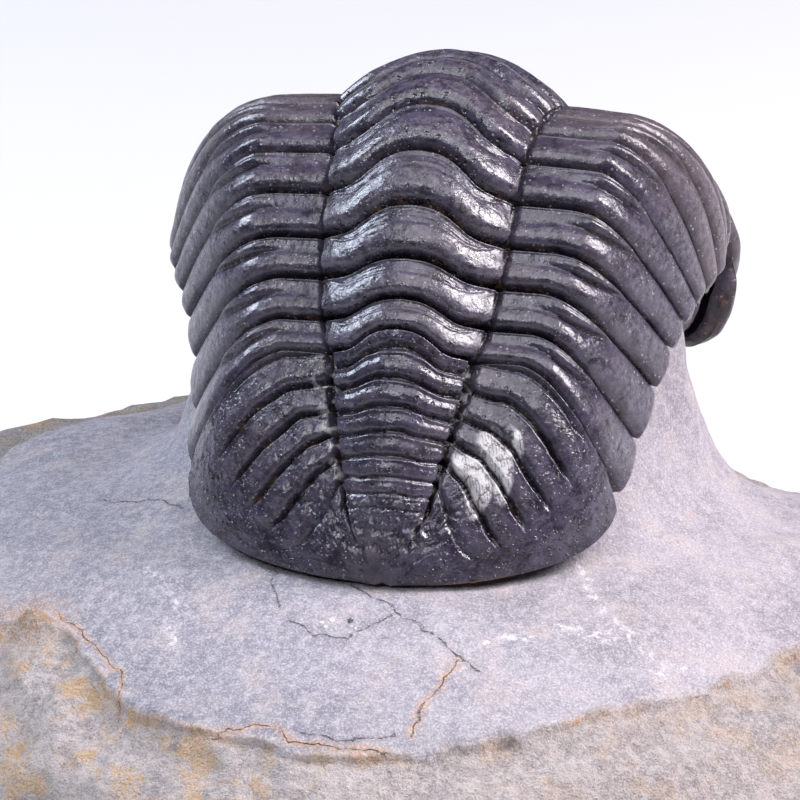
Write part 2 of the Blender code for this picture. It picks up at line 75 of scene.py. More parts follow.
# the head's edge: (share of the head, half width), then the shares of the way to its front in Y and Z
HEAD_HALF = [(0, 15.2), (0.04, 15.7), (0.08, 15.4), (0.13, 14.4), (0.2, 13.1), (0.45, 11.7), (0.7, 9.5),
             (0.85, 6.9), (0.95, 3.8), (1, 0)]
HEAD_AHEAD = [(0, 0), (0.08, 0.1), (0.2, 0.24), (0.5, 0.58), (0.8, 0.9), (1, 1)]
HEAD_FALL = [(0, 0), (0.04, 0.3), (0.08, 0.56), (0.13, 0.82), (0.2, 0.94), (0.4, 1), (1, 1)]

# the tail's corner, how its edge runs round, and its fall as (share of the tail, share of the way down)
TAIL_CORNER = (12.4, 0.9, -10.6)
TAIL_FAN = 0.85
TAIL_DROP = [(0, 0), (0.12, 0.55), (0.3, 0.85), (1, 1)]

# share of the head left open behind it, and how deep its back edge dips there
NECK_GAP = 0.012
NECK_STEP = 0.6

# how far the last rows of the head and the tail draw in at their corners
HEAD_CORNER_ROUND = 0.05
TAIL_CORNER_ROUND = 0.05

# shares of a plate's width where its parts meet, and the shapes of those parts
AXIS_EDGE = 0.27
FULCRUM_EDGE = 0.43
FLANK_POWER = 1.7
SWEEP_POWER = 1.6
SWEEP_START = 1.2
ARCH_POWER = 1.8
PLEURA_FALL = 0.06

# how far back a ring lies between its middle and its end, as a share of its bow
BOW = [(0, 0), (0.13, 0.07), (0.24, 0.27), (0.35, 0.6), (0.45, 0.88), (0.56, 0.99), (0.7, 1), (1, 1)]

# fine relief from the front edge of a band to its back: (share of the band, height)
RING = [(0, -0.75), (0.025, -0.2), (0.05, 0), (0.085, -0.06), (0.2, -0.02), (0.45, 0.16),
        (0.66, 0.22), (0.8, 0.05), (0.92, -0.4), (1, -0.8)]
PLEURA = [(0, -0.7), (0.025, -0.18), (0.05, 0), (0.085, -0.08), (0.3, -0.1), (0.52, 0.06),
          (0.68, 0.12), (0.82, -0.04), (0.93, -0.42), (1, -0.75)]
FLANK = [(0, -0.5), (0.03, -0.2), (0.08, -0.08), (0.25, 0.07), (0.5, 0.16), (0.78, 0.06),
         (0.92, -0.14), (1, -0.5)]
RIB = [(0, -0.62), (0.04, -0.1), (0.08, 0.03), (0.13, -0.02), (0.35, 0.06), (0.6, 0.1),
       (0.78, -0.04), (0.92, -0.45), (1, -0.62)]
TAIL_RING = [(0, -0.42), (0.06, -0.05), (0.12, 0.04), (0.2, -0.04), (0.5, 0.06), (0.75, -0.02),
             (0.92, -0.34), (1, -0.42)]

# the furrow of a body segment: (share of the way out, share of the band), its depth and width
FURROW_AT = [(0, 0.34), (0.15, 0.36), (0.3, 0.36), (0.45, 0.28), (0.6, 0.12), (0.7, 0.02)]
FURROW_DEPTH = 0.3
FURROW_WIDTH = 0.045
RIDGE_HEIGHT = 0.16
# the half ring in front of a ring: its edge's place on the midline and half width, then its depths
HALF_RING_AT = 0.32
HALF_RING_REACH = 0.23
HALF_RING_DEPTH = 0.2
HALF_RING_LINES = 0.05
HALF_RING_SUNK = 0.08
AXIAL_FURROW_DEPTH = 0.3
SEGMENT_TIP_DROP = 0.6

# the tail: (share of its length, number of the ring or rib there), how the ribs bend, and depths
TAIL_RINGS = [(0, -0.4), (0.07, 0), (0.19, 1), (0.3, 2), (0.4, 3), (0.49, 4), (0.57, 5), (0.635, 6),
              (0.69, 7), (0.74, 8)]
TAIL_RIBS = [(-0.4, -3), (0, 0), (0.15, 1), (0.275, 2), (0.385, 3), (0.49, 4), (0.585, 5), (0.67, 6)]
RIB_BEND = [(0, 0), (0.08, 0.04), (0.15, 0.058), (0.21, 0.066), (0.3, 0.064), (0.45, 0.064), (0.6, 0.052),
            (1, 0.03)]

TAIL_FURROW_DEPTH = 0.5
TAIL_EDGE_DROP = 0.45
GRANULE_PITCH = 0.42
GRANULE_HEIGHT = 0.05
BROKEN_TIP = 0.22
# worn patches on the tail: centre and size as (across, share), and lean
CALCITE = [((0.45, 0.41), (0.11, 0.075), 0.5), ((0.40, 0.52), (0.1, 0.07), 0.6),
           ((0.47, 0.3), (0.05, 0.028), 0.4)]
# middle and reach in X of the rusty stretch of the tail's edge
RUSTY_EDGE = (4.5, 3.2)

# the head: the glabella's (distance from the neck, half width); an eye's place and size in X and along
GLABELLA = [(0, 5.6), (2.6, 5.8), (3.2, 5.9), (6, 6.8), (9, 8.6), (12.5, 9.9), (15.5, 8.8), (17.4, 4)]
GLABELLA_HEIGHT = 2.6
GLABELLA_FURROW_DEPTH = 0.45
OCCIPITAL_FURROW = 2.7
OCCIPITAL_DEPTH = 0.8
BACK_FURROW_DEPTH = 0.4
EYE_PLACE = (10.4, 9.6)
EYE_SIZE = (2.1, 3.4)
EYE_HEIGHT = 1.4
LENS_PITCH = 0.62
LENS_HEIGHT = 0.12
TUBERCLE_PITCH = 0.85
TUBERCLE_HEIGHT = 0.16
CHEEK_BORDER_DEPTH = 0.45
HEAD_TIP_DROP = 0.5

# steps across the axis, a pleura and a flank, and rows along; the inner faces are coarser
SEGMENT_COLUMNS = (74, 44, 112)
SEGMENT_ROWS = 34
HEAD_COLUMNS = (60, 40, 90)
HEAD_ROWS = 121
TAIL_COLUMNS = (80, 62, 96)
TAIL_ROWS = 171
INNER_STEP = 5
ROCK_COLUMNS = (4, 2, 4)

# rock: (radius, Z) on spokes round the body, every 30 degrees from the tail by way of +X
SPOKES = 12
HUB_Y = 14.0
BASE_Z = -31.0
BASE_INSET = 2.0
CORE_GAP = 0.5
EDGE_GAP = 0.12
FOOT = [(21.9, -12.45), (20.9, -12.9), (18.8, -15), (18.3, -18.3), (15.3, -21), (18.5, -22.5),
        (21.5, -22.5), (20.5, -21.8), (17.5, -20), (18.8, -17.5), (18.8, -14.6), (21, -12.8)]
PAD_EDGE = [(33, -15), (29.5, -15.3), (26, -17), (27.5, -20.5), (17.8, -24.5), (20.2, -25.5),
            (23.5, -25.5), (23.5, -25), (22.5, -21.5), (29.5, -19.5), (30, -17), (30.5, -15.4)]
RIM = [(39, -20.5), (37, -21), (37, -22), (36.5, -23.5), (24, -27.5), (22.5, -28),
       (25.5, -28), (27, -27.5), (28.5, -25), (36.5, -23), (38, -22), (37.5, -21)]
# how far the rock stands in under the head's corners: (degrees from the tail, distance)
TUCK = [(0, 0), (85, 0.2), (105, 1.2), (125, 1.6), (150, 1.2), (180, 0)]
# the prepared ground's edge: (degrees from the tail, distance from the hub)
PREPARED = [(-180, 24), (-120, 23), (-90, 28), (-70, 29), (-52, 31.5), (-46, 30.4), (-40.5, 28.6),
            (-31, 30), (-22.5, 31.9), (-8, 32.4), (-3.5, 33), (5.5, 32.6), (11, 31.9), (16, 31.2),
            (25.5, 30), (37.5, 29.2), (52, 28), (70, 26.5), (90, 27), (120, 20), (180, 24)]

# lines on the rock, in X and Y: open cracks, rusty cracks, pale veins, and the edge of a shallow chip
CRACKS = [[(-5, -5.5), (-3.2, -5.9), (1, -8.5), (5.1, -11.4), (6.3, -12.3)],
          [(-6.4, -5.3), (-6.1, -7), (-5.4, -8.9)],
          [(-18.8, 4.2), (-15.4, 3), (-12.6, 0.5)],
          [(-2.7, -17.6), (0.1, -18.1), (2.7, -17.4)]]
RUSTY_CRACKS = [[(5.1, -11.6), (4, -14.6), (3.5, -17.3)],
                [(-18.4, -7.6), (-15.6, -10.5), (-13.2, -13.3), (-13.1, -15.2)],
                [(-7.9, -17.6), (-3.9, -17.3), (-2.8, -18.4), (2.3, -18.4)]]
VEINS = [[(9.3, -0.7), (10.7, -3.3), (12.1, -6.7)],
         [(5.9, -10.3), (10, -8.3), (14.1, -6.8)],
         [(12.9, -6.5), (15, -8.9), (17.5, -8)],
         [(-13.7, -5), (-11.6, -8), (-11, -11)]]
CHIP = [[(-4.6, -9.7), (-2.9, -10.9), (-1.3, -11.2), (1, -8.9)]]
CRYSTALS = (-2.9, -10.2)
CRYSTALS_END = (-1.3, -10.6)
PIT = (-1.3, -9.8)
PIT_END = (-1.25, -9.8)
# the natural rock: its drop at the prepared ground's edge, its lumps and broken faces
LEDGE_DEPTH = 0.35
LUMP_HEIGHT = 0.55
FACET_STEP = 0.35
# a knob on it and the rusty stain there, in X and Y
KNOB = (-19.4, -7.4)
KNOB_HEIGHT = 0.9
KNOB_STAIN = (-19.6, -7.6)

# camera: target in the body's frame, angles in degrees, lens and sensor in millimetres
TARGET = (-1.11, 4.53, -7.31)
AZIMUTH = 12.94
ELEVATION = 31.26
ROLL = -3.03
DISTANCE = 280.0
LENS = 225.5
SENSOR = 36.0

# softboxes: name, place in the body's frame, size, watts, tint; then the floor and what lies round it
SOFTBOXES = [("light_right", (190, 40, 150), (80, 130), 0.95, (1.0, 0.93, 0.96)),
             ("light_left", (-190, 60, 130), (70, 120), 0.5, (0.76, 0.85, 1.0)),
             ("light_top", (10, -60, 260), (210, 210), 0.4, (0.98, 0.98, 1.0)),
             ("light_front", (-50, -170, 185), (55, 55), 0.16, (0.9, 0.94, 1.0))]
LIT = (0, 8, -4)
FLOOR_HALF = 1500.0
FLOOR_TINT = (0.62, 0.62, 0.64, 1.0)
FLOOR_ROUGHNESS = 0.9
SKY_TINT = (0.8, 0.82, 0.88, 1.0)
SKY_STRENGTH = 0.04


def cubic(t, span, first, second, slope, next_slope):
    """Cubic between two values, a span apart, that has the given slopes there."""
    return ((1 + 2 * t) * (1 - t) ** 2 * first + t * (1 - t) ** 2 * span * slope
            + t * t * (3 - 2 * t) * second + t * t * (t - 1) * span * next_slope)


def smooth(table, where):
    """Monotone cubic through the (place, value) pairs of a table, level beyond its ends."""
    xs, ys = np.array(table, float).T
    step = np.diff(xs)
    rise = np.diff(ys) / step
    tangent = np.zeros_like(xs)
    tangent[0], tangent[-1] = rise[0], rise[-1]
    same_way = rise[:-1] * rise[1:] > 0
    weight_a = 2 * step[1:] + step[:-1]
    weight_b = step[1:] + 2 * step[:-1]
    safe = np.where(same_way[:, None], np.stack([rise[:-1], rise[1:]], -1), 1.0)
    inner = (weight_a + weight_b) / (weight_a / safe[:, 0] + weight_b / safe[:, 1])
    tangent[1:-1] = np.where(same_way, inner, 0.0)
    where = np.asarray(where, float)
    i = np.clip(np.searchsorted(xs, where) - 1, 0, len(xs) - 2)
    t = np.clip((where - xs[i]) / step[i], 0, 1)
    return cubic(t, step[i], ys[i], ys[i + 1], tangent[i], tangent[i + 1])


def even(low, high, value):
    """0 below low, 1 above high, straight between."""
    return np.clip((value - low) / (high - low), 0, 1)


def ramp(low, high, value):
    """0 below low, 1 above high, eased between."""
    t = even(low, high, value)
    return t * t * (3 - 2 * t)


def fade(low, high, value):
    """1 below low, 0 above high, eased between."""
    return 1 - ramp(low, high, value)


def bump(value, centre, width):
    """1 at the centre, falling off to either side."""
    return np.exp(-((value - centre) / width) ** 2)


def walk_spine():
    """Stations with the Y and the Z of the back's centre line, measured from station 11."""
    station = np.linspace(FRONT, BACK, SPINE_STEPS + 1)
    slope = np.radians(smooth(SLOPE, station))
    length = smooth(SEGMENT_LENGTH, station)
    length = np.where(station < 0, HEAD_LENGTH, length)
    length = np.where(station > SEGMENTS, TAIL_LENGTH, length)
    step = -np.diff(station) * 0.5 * (length[1:] + length[:-1])
    middle = 0.5 * (slope[1:] + slope[:-1])
    y = np.concatenate([[0], np.cumsum(step * np.cos(middle))])
    z = np.concatenate([[0], np.cumsum(step * np.sin(middle))])
    here = int(np.argmin(np.abs(station - SEGMENTS)))
    return station, y - y[here], z - z[here]


SPINE = walk_spine()


def spine(station):
    y = np.interp(station, SPINE[0], SPINE[1])
    z = np.interp(station, SPINE[0], SPINE[2])
    return y, z, np.radians(smooth(SLOPE, station))


def margin(station):
    """Half width, Y and Z of the plates' outer edge at each station."""
    width = smooth(HALF_WIDTH, station)
    y = smooth(TIP_Y, station)
    z = smooth(TIP_Z, station)
    ahead = np.clip(-station, 0, 1)
    end_y, end_z, _ = spine(FRONT)
    width = np.where(station < 0, smooth(HEAD_HALF, ahead), width)
    y = np.where(station < 0, y + (end_y - y) * smooth(HEAD_AHEAD, ahead), y)
    z = np.where(station < 0, z + (end_z - z) * smooth(HEAD_FALL, ahead), z)
    behind = np.clip(station - SEGMENTS, 0, 1)
    turn = behind ** TAIL_FAN * math.pi / 2
    end_y, end_z, _ = spine(BACK)
    in_tail = station > SEGMENTS
    width = np.where(in_tail, TAIL_CORNER[0] * np.cos(turn), width)
    y = np.where(in_tail, TAIL_CORNER[1] + (end_y - TAIL_CORNER[1]) * np.sin(turn), y)
    z = np.where(in_tail, TAIL_CORNER[2] + (end_z - TAIL_CORNER[2]) * smooth(TAIL_DROP, behind), z)
    return width, y, z


def envelope(across, station):
    """Point of the smooth outer surface: across runs -1 to 1 from tip to tip."""
    across, station = np.broadcast_arrays(np.asarray(across, float), np.asarray(station, float))
    share = np.abs(across)
    y, z, slope = spine(station)
    half, tip_y, tip_z = margin(station)
    axis = np.minimum(smooth(AXIS_HALF, station), 0.45 * half)
    knee = np.minimum(smooth(FULCRUM, station), 0.7 * half)
    rise = smooth(AXIS_RISE, station)
    bow = smooth(RING_BOW, station)
    along = np.stack([np.cos(slope), np.sin(slope)], -1)
    out = np.stack([-np.sin(slope), np.cos(slope)], -1)
    tip = np.stack([tip_y - y, tip_z - z], -1)
    drop = -(tip * out).sum(-1)
    sweep = -(tip * along).sum(-1)
    knee_drop = rise + PLEURA_FALL * (knee - axis)
    in_axis = even(0, AXIS_EDGE, share)
    in_pleura = even(AXIS_EDGE, FULCRUM_EDGE, share)
    in_flank = even(FULCRUM_EDGE, 1, share)
    whole_turn = np.radians(smooth(FLANK_TURN, station))
    turn = in_flank * whole_turn
    straight = smooth(STRAIGHT, station)
    fall = (1 - np.cos(turn)) / (1 - np.cos(whole_turn))
    fall = fall + (in_flank ** FLANK_POWER - fall) * straight
    spread = np.sin(turn) / np.sin(np.minimum(whole_turn, math.pi / 2))
    spread = spread + (in_flank - spread) * straight
    x = axis * np.sin(in_axis * math.pi / 2) + (knee - axis) * in_pleura + (half - knee) * spread
    down = (rise * (1 - np.cos(in_axis * math.pi / 2) ** ARCH_POWER) + (knee_drop - rise) * in_pleura
            + (drop - knee_drop) * fall)
    before = knee - SWEEP_START
    by_width = even(before, half, x)
    in_sweep = (by_width + (in_flank - by_width) * ramp(0, 0.5, -station)) ** SWEEP_POWER
    back = bow * smooth(BOW, in_axis) + (sweep - bow) * in_sweep
    point = np.stack([y, z], -1) - out * down[..., None] - along * back[..., None]
    sideways = np.sign(across) * x + smooth(LEAN, station) * in_flank
    return np.stack([sideways, point[..., 0], point[..., 1]], -1)


def outward(across, station):
    """Unit normals of the envelope, pointing away from the rock."""
    shift, off_pole = 0.004, 0.02
    near = np.clip(across, -1 + shift, 1 - shift)
    mid = np.clip(station, FRONT + off_pole, BACK - off_pole)
    side = envelope(near + shift, mid) - envelope(near - shift, mid)
    ahead = envelope(near, mid - shift) - envelope(near, mid + shift)
    normal = np.cross(side, ahead)
    return normal / np.linalg.norm(normal, axis=-1, keepdims=True)


def surface(across, station, height):
    """Envelope point moved along its normal."""
    across, station = np.broadcast_arrays(np.asarray(across, float), np.asarray(station, float))
    return envelope(across, station) + outward(across, station) * np.asarray(height)[..., None]


# odd factors that mix the bits of a cell's numbers
HASH_FACTORS = (0x9E3779B97F4A7C15, 0xBF58476D1CE4E5B9, 0x94D049BB133111EB)


def hashed(cell, seed):
    """A number from 0 to 1 for each whole-number cell, the same on every run."""
    n = cell.astype(np.int64).astype(np.uint64)
    first, second, third = (np.uint64(factor) for factor in HASH_FACTORS)
    h = n[..., 0] * first + np.uint64(seed * 7919 + 1)
    for part in (n[..., 1], n[..., 2]):
        h = (h ^ (h >> np.uint64(31))) * second + part * third
    h = (h ^ (h >> np.uint64(30))) * second
    h = (h ^ (h >> np.uint64(27))) * third
    return (h >> np.uint64(40)).astype(float) / 2 ** 24


def noise(points, size, seed):
    """Smooth noise from about -1 to 1, with lumps of a size in millimetres."""
    place = points / size
    cell = np.floor(place)
    part = place - cell
    eased = part ** 3 * (part * (part * 6 - 15) + 10)
    total = 0.0
    for corner in np.ndindex(2, 2, 2):
        step = np.array(corner)
        slope = np.stack([hashed(cell + step, seed + k) for k in (0, 1, 2)], -1) * 2 - 1
        weight = np.where(step == 1, eased, 1 - eased).prod(-1)
        total = total + weight * (slope * (part - step)).sum(-1)
    return 1.6 * total


def fractal(points, size, octaves, seed):
    """Sum of noises, each half the size and half the height of the one before."""
    return sum(noise(points, size / 2 ** k, seed + 10 * k) / 2 ** k for k in range(octaves))


def cells(points, size, seed):
    """Distance to the nearest of points strewn at a pitch, in millimetres, and that point's own number."""
    place = points / size
    cell = np.floor(place)
    nearest = np.full(place.shape[:-1], 9.0)
    number = np.zeros(place.shape[:-1])
    for offset in np.ndindex(3, 3, 3):
        there = cell + np.array(offset) - 1
        seat = there + np.stack([hashed(there, seed + k) for k in (0, 1, 2)], -1)
        gap = np.linalg.norm(place - seat, axis=-1)
        number = np.where(gap < nearest, hashed(there, seed + 3), number)
        nearest = np.minimum(gap, nearest)
    return nearest * size, number


def segment_relief(across, share, number):
    """Height of a body segment's surface: share runs 0 at its front edge to 1 at its back."""
    side = np.abs(across)
    outside = even(AXIS_EDGE, 1, side)
    flank = ramp(0.35, 0.75, outside)
    lens = ramp(0.1, 0.28, outside) * fade(0.5, 0.68, outside)
    furrow_at = smooth(FURROW_AT, outside)
    furrow = FURROW_DEPTH * lens * bump(share, furrow_at, FURROW_WIDTH)
    ridge = RIDGE_HEIGHT * lens * bump(share, 0.5 * furrow_at, 2 * FURROW_WIDTH)
    pleura = smooth(PLEURA, share) * (1 - flank) + smooth(FLANK, share) * flank - furrow + ridge
    half_ring_at = HALF_RING_AT * (1 - (side / HALF_RING_REACH) ** 2)
    in_front = ramp(0.06, 0.14, half_ring_at) * (1 - 0.6 * ramp(8, 10, number))
    half_ring = HALF_RING_DEPTH * bump(share, half_ring_at, 0.024)
    lines = bump(share, 0.68 * half_ring_at, 0.016) + bump(share, 0.4 * half_ring_at, 0.014)
    lines = HALF_RING_LINES * lines
    sunk = HALF_RING_SUNK * fade(0.7, 1.0, share / np.maximum(half_ring_at, 0.01))
    ring = smooth(RING, share) - (half_ring + lines + sunk) * in_front
    on_axis = fade(AXIS_EDGE - 0.03, AXIS_EDGE + 0.008, side)
    height = ring * on_axis + pleura * (1 - on_axis)
    tip = SEGMENT_TIP_DROP * ramp(0.955, 1, side) ** 2
    return height - AXIAL_FURROW_DEPTH * bump(side, AXIS_EDGE + 0.002, 0.009) - tip


def head_relief(across, station):
    """Height of the head's surface above its envelope."""
    base = envelope(across, station)
    x = np.abs(base[..., 0])
    y, z, slope = spine(station)
    ahead = (base[..., 1] - y) * np.cos(slope) + (base[..., 2] - z) * np.sin(slope)
    arc = -HEAD_LENGTH * station + ahead
    inside = smooth(GLABELLA, arc) - x
    swell = GLABELLA_HEIGHT * (0.25 + 0.75 * ramp(1.5, 11, arc)) * (1 - 0.6 * ramp(15.5, 18.2, arc))
    glabella = swell * ramp(-0.2, 3.4, inside) - GLABELLA_FURROW_DEPTH * bump(inside, -0.5, 0.6)
    occipital = -OCCIPITAL_DEPTH * bump(arc, OCCIPITAL_FURROW, 0.5) * ramp(-0.5, 0.3, inside)
    outward_x = (x - EYE_PLACE[0]) / EYE_SIZE[0]
    forward = (arc - EYE_PLACE[1]) / EYE_SIZE[1]
    reach = 1.25 - np.hypot(outward_x + 0.25 * forward ** 2, forward)
    eye = EYE_HEIGHT * ramp(0, 0.75, reach)
    border = -CHEEK_BORDER_DEPTH * bump(np.abs(across), 0.9, 0.035) * ramp(9.5, 11.5, x)
    back_furrow = -BACK_FURROW_DEPTH * bump(arc, 1.9, 0.5) * ramp(6.2, 7.2, x)
    grain, _ = cells(base, TUBERCLE_PITCH, 31)
    tubercles = fade(0.1, 0.42, grain) * ramp(0.5, 2.0, inside) * ramp(3.2, 4.5, arc)
    tubercles = TUBERCLE_HEIGHT * tubercles
    row = arc / LENS_PITCH
    column = (base[..., 2] + base[..., 1]) / LENS_PITCH + 0.5 * (np.floor(row) % 2)
    lens_gap = np.hypot(row - np.floor(row) - 0.5, column - np.floor(column) - 0.5)
    lenses = fade(0.15, 0.45, lens_gap) * bump(reach, 0.42, 0.22) * ramp(0, 0.4, outward_x)
    lenses = LENS_HEIGHT * lenses
    tip = HEAD_TIP_DROP * ramp(0.965, 1, np.abs(across)) ** 2
    return glabella + occipital + eye + border + back_furrow + tubercles + lenses - tip


def tail_relief(across, station):
    """Height of the tail's surface: rings on the axis, ribs beside it, a smooth border."""
    side = np.abs(across)
    share = station - SEGMENTS
    outside = even(AXIS_EDGE, 1, side)
    rings = smooth(TAIL_RINGS, share - 0.012 * (side / AXIS_EDGE) ** 2)
    ring_size = 1.1 - 0.75 * ramp(0.1, 0.75, share)
    ribs = smooth(TAIL_RIBS, share - smooth(RIB_BEND, outside) * (0.5 + 1.6 * share))
    on_axis = fade(AXIS_EDGE - 0.03, AXIS_EDGE + 0.008, side)
    rings_fade = fade(0.7, 0.8, share)
    ribs_fade = fade(0.5, 0.66, outside) * fade(0.52, 0.78, share)
    first_furrow = 0.45 * bump(ribs, 0, 0.5)
    on_ring = smooth(TAIL_RING, rings % 1.0) * ring_size
    on_rib = smooth(RIB, ribs % 1.0) * (1 - first_furrow)
    height = on_ring * rings_fade * on_axis + on_rib * ribs_fade * (1 - on_axis)
    height = height - 0.1 * ramp(0.5, 0.7, outside) * (1 - on_axis)
    edge = np.maximum(ramp(0.965, 1, side), ramp(0.985, 1.0, share))
    furrow = TAIL_FURROW_DEPTH * bump(side, AXIS_EDGE, 0.016) * fade(0.66, 0.86, share)
    return height - furrow - TAIL_EDGE_DROP * edge ** 2, ribs_fade, rings_fade


def columns(steps_axis, steps_pleura, steps_flank):
    """Places across a plate, tip to tip, with a number of steps in each of its parts."""
    axis = np.linspace(0, AXIS_EDGE, steps_axis + 1)
    pleura = np.linspace(AXIS_EDGE, FULCRUM_EDGE, steps_pleura + 1)[1:]
    flank = np.linspace(FULCRUM_EDGE, 1, steps_flank + 1)[1:]
    half = np.concatenate([axis, pleura, flank])
    return np.concatenate([-half[:0:-1], half])


def grid_faces(rows, cols, start, flip):
    """Quads over a grid of vertices that are numbered from start."""
    corner = start + np.arange(rows - 1)[:, None] * cols + np.arange(cols - 1)[None, :]
    quads = np.stack([corner, corner + 1, corner + cols + 1, corner + cols], -1).reshape(-1, 4)
    return (quads[:, ::-1] if flip else quads).tolist()


def band_faces(first, second):
    """Quads between two chains of vertices."""
    return [list(quad) for quad in zip(first, first[1:], second[1:], second)]


def closed_plate(outer, inner, step, poles, forwards):
    """Points and faces of a curved plate: a fine outer grid, a coarse inner one and their edges."""
    rows, cols = outer.shape[:2]
    start = rows * cols
    below = [list(range(start + k * cols, start + (k + 1) * cols)) for k in range(len(inner))]
    above = [list(range(k * cols, (k + 1) * cols)) for k in range(rows)]
    points = [outer.reshape(-1, 3), inner.reshape(-1, 3)]
    faces = grid_faces(rows, cols, 0, True) + grid_faces(len(inner), cols, start, False)
    faces += band_faces(above[0], below[0])
    if poles is None:
        faces += band_faces(below[-1], above[-1])
    else:
        tip, inner_tip = start + len(inner) * cols, start + len(inner) * cols + 1
        points.append(poles)
        faces += [[b, a, tip] for a, b in zip(above[-1], above[-1][1:])]
        faces += [[a, b, inner_tip] for a, b in zip(below[-1], below[-1][1:])]
        faces += [[above[-1][0], tip, inner_tip, below[-1][0]][::-1],
                  [above[-1][-1], tip, inner_tip, below[-1][-1]]]
    for col, turn in ((0, -1), (cols - 1, 1)):
        for k in range(len(inner) - 1):
            reach = [above[i][col] for i in range(k * step, (k + 1) * step + 1)]
            faces.append((reach + [below[k + 1][col], below[k][col]])[::turn])
    if forwards:
        faces = [face[::-1] for face in faces]
    return np.concatenate(points), faces


def placed(points):
    """From the body's own frame to the part's: the base at Z = 0, under the middle of the rock."""
    return points - np.array([ROCK_CENTRE[0], ROCK_CENTRE[1], BASE_Z])


def put(name, data):
    thing = bpy.data.objects.new(name, data)
    bpy.context.scene.collection.objects.link(thing)
    return thing


def add_piece(name, points, faces, marks, material, slot):
    """A mesh that stands for the CAD node of the same name; marks are numbers kept at its vertices."""
    data = bpy.data.meshes.new(name)
    data.from_pydata((placed(points) * MM).tolist(), [], faces)
    for mark, values in marks.items():
        full = np.zeros(len(points), np.float32)
        full[:values.size] = values.ravel()
        data.attributes.new(mark, "FLOAT", "POINT").data.foreach_set("value", full)
    data.shade_smooth()
    data.materials.append(material)
    thing = put(name + "_surface", data)
    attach(thing, "root")
    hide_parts(name)


def shell_marks(points, height, pitted, granular=0.0, calcite=0.0, rust=0.0):
    """Numbers that the shell's material reads."""
    # low parts of the surface, where the material paints shade and puts rust
    groove = fade(-0.5, -0.12, height)
    # high parts of the surface, where the material paints pale dust that also stands in for a highlight
    crest = ramp(0.0, 0.12, height)
    front = ramp(8, 16, points[..., 1]) * ramp(4.5, 8, np.abs(points[..., 0]))
    warm = np.clip(front + 0.5 * noise(points, 3.0, 71), 0, 1)
    return dict(groove=groove, crest=crest, warm=warm, pitted=pitted + 0 * height,
                granular=granular + 0 * height, calcite=calcite + 0 * height, rust=rust + 0 * height)


def thoracic_segment(number, material):
    """One plate of the body in fine relief."""
    across = columns(*SEGMENT_COLUMNS)
    even = np.linspace(0, 1, SEGMENT_ROWS)
    shares = even - 0.45 * np.sin(2 * math.pi * even) / (2 * math.pi)
    share = shares[:, None] + 0 * across[None, :]
    round_end = 0.05 * (2 * share - 1) ** 4
    beyond = ramp(FULCRUM_EDGE, 1, np.abs(across))[None, :]
    reach = across[None, :] * (1 - round_end * beyond)
    station = number - 1 + share
    base = envelope(reach, station)
    wander = 0.02 * noise(base, 2.2, 100 + number) * np.sin(math.pi * share)
    height = segment_relief(reach, np.clip(share + wander, 0, 1), number)
    height = height + 0.03 * fractal(base, 1.6, 3, 120 + number) * np.sin(math.pi * share)
    outer = surface(reach, station, height)
    step = SEGMENT_ROWS - 1
    inner = inner_face(reach, station, step)
    rear = ramp(0.5, 0.8, share) * fade(AXIS_EDGE - 0.04, AXIS_EDGE, np.abs(reach))
    marks = shell_marks(outer, height, 0.12 + 0.88 * rear)
    name = f"thoracic_segment_{number:02d}"
    add_piece(name, *closed_plate(outer, inner, step, None, False), marks, material, "fossil_shell")


def shield_grid(stations, across, corner_round):
    """Stations and places across of a head or tail plate, with its corners drawn in."""
    count = (len(stations) - 2) // INNER_STEP * INNER_STEP + 1
    rows, cols = np.meshgrid(stations[:count], across, indexing="ij")
    left = (stations[-1] - rows) / (stations[-1] - stations[0])
    return rows + corner_round * (ramp(0.72, 1, np.abs(cols)) * left) ** 2, cols


def inner_face(across, station, step):
    """The coarse inner face of a plate: every so many rows of its outer face, one plate further in."""
    across, station = across[::step], station[::step]
    return surface(across, station, np.full_like(across, -PLATE))


def tip_points(station, top):
    """Where the outer and the inner face of a head or tail plate end."""
    return np.concatenate([surface([0.0], station, top), surface([0.0], station, [-PLATE])])


def cephalon(material):
    """The head plate, from its back edge at the neck to its front."""
    stations = -np.linspace(NECK_GAP, 1, HEAD_ROWS)
    rows, cols = shield_grid(stations, columns(*HEAD_COLUMNS), -HEAD_CORNER_ROUND)
    height = head_relief(cols, rows)
    height = height + 0.03 * fractal(envelope(cols, rows), 2.0, 3, 200)
    outer = surface(cols, rows, height - NECK_STEP * fade(0, 0.03, -rows - NECK_GAP))
    inner = inner_face(cols, rows, INNER_STEP)
    poles = tip_points(FRONT, head_relief(np.zeros(1), np.full(1, FRONT)))
    plate = closed_plate(outer, inner, INNER_STEP, poles, True)
    add_piece("cephalon", *plate, shell_marks(outer, height, 0.25), material, "fossil_shell")


def blob(across, share, centre, size, lean):
    """1 inside a leaning oval on the tail, 0 outside: centre and size are (across, share)."""
    u = (across - centre[0]) / size[0]
    v = (share - centre[1] - lean * (across - centre[0])) / size[1]
    return fade(0.85, 1.1, np.hypot(u, v))


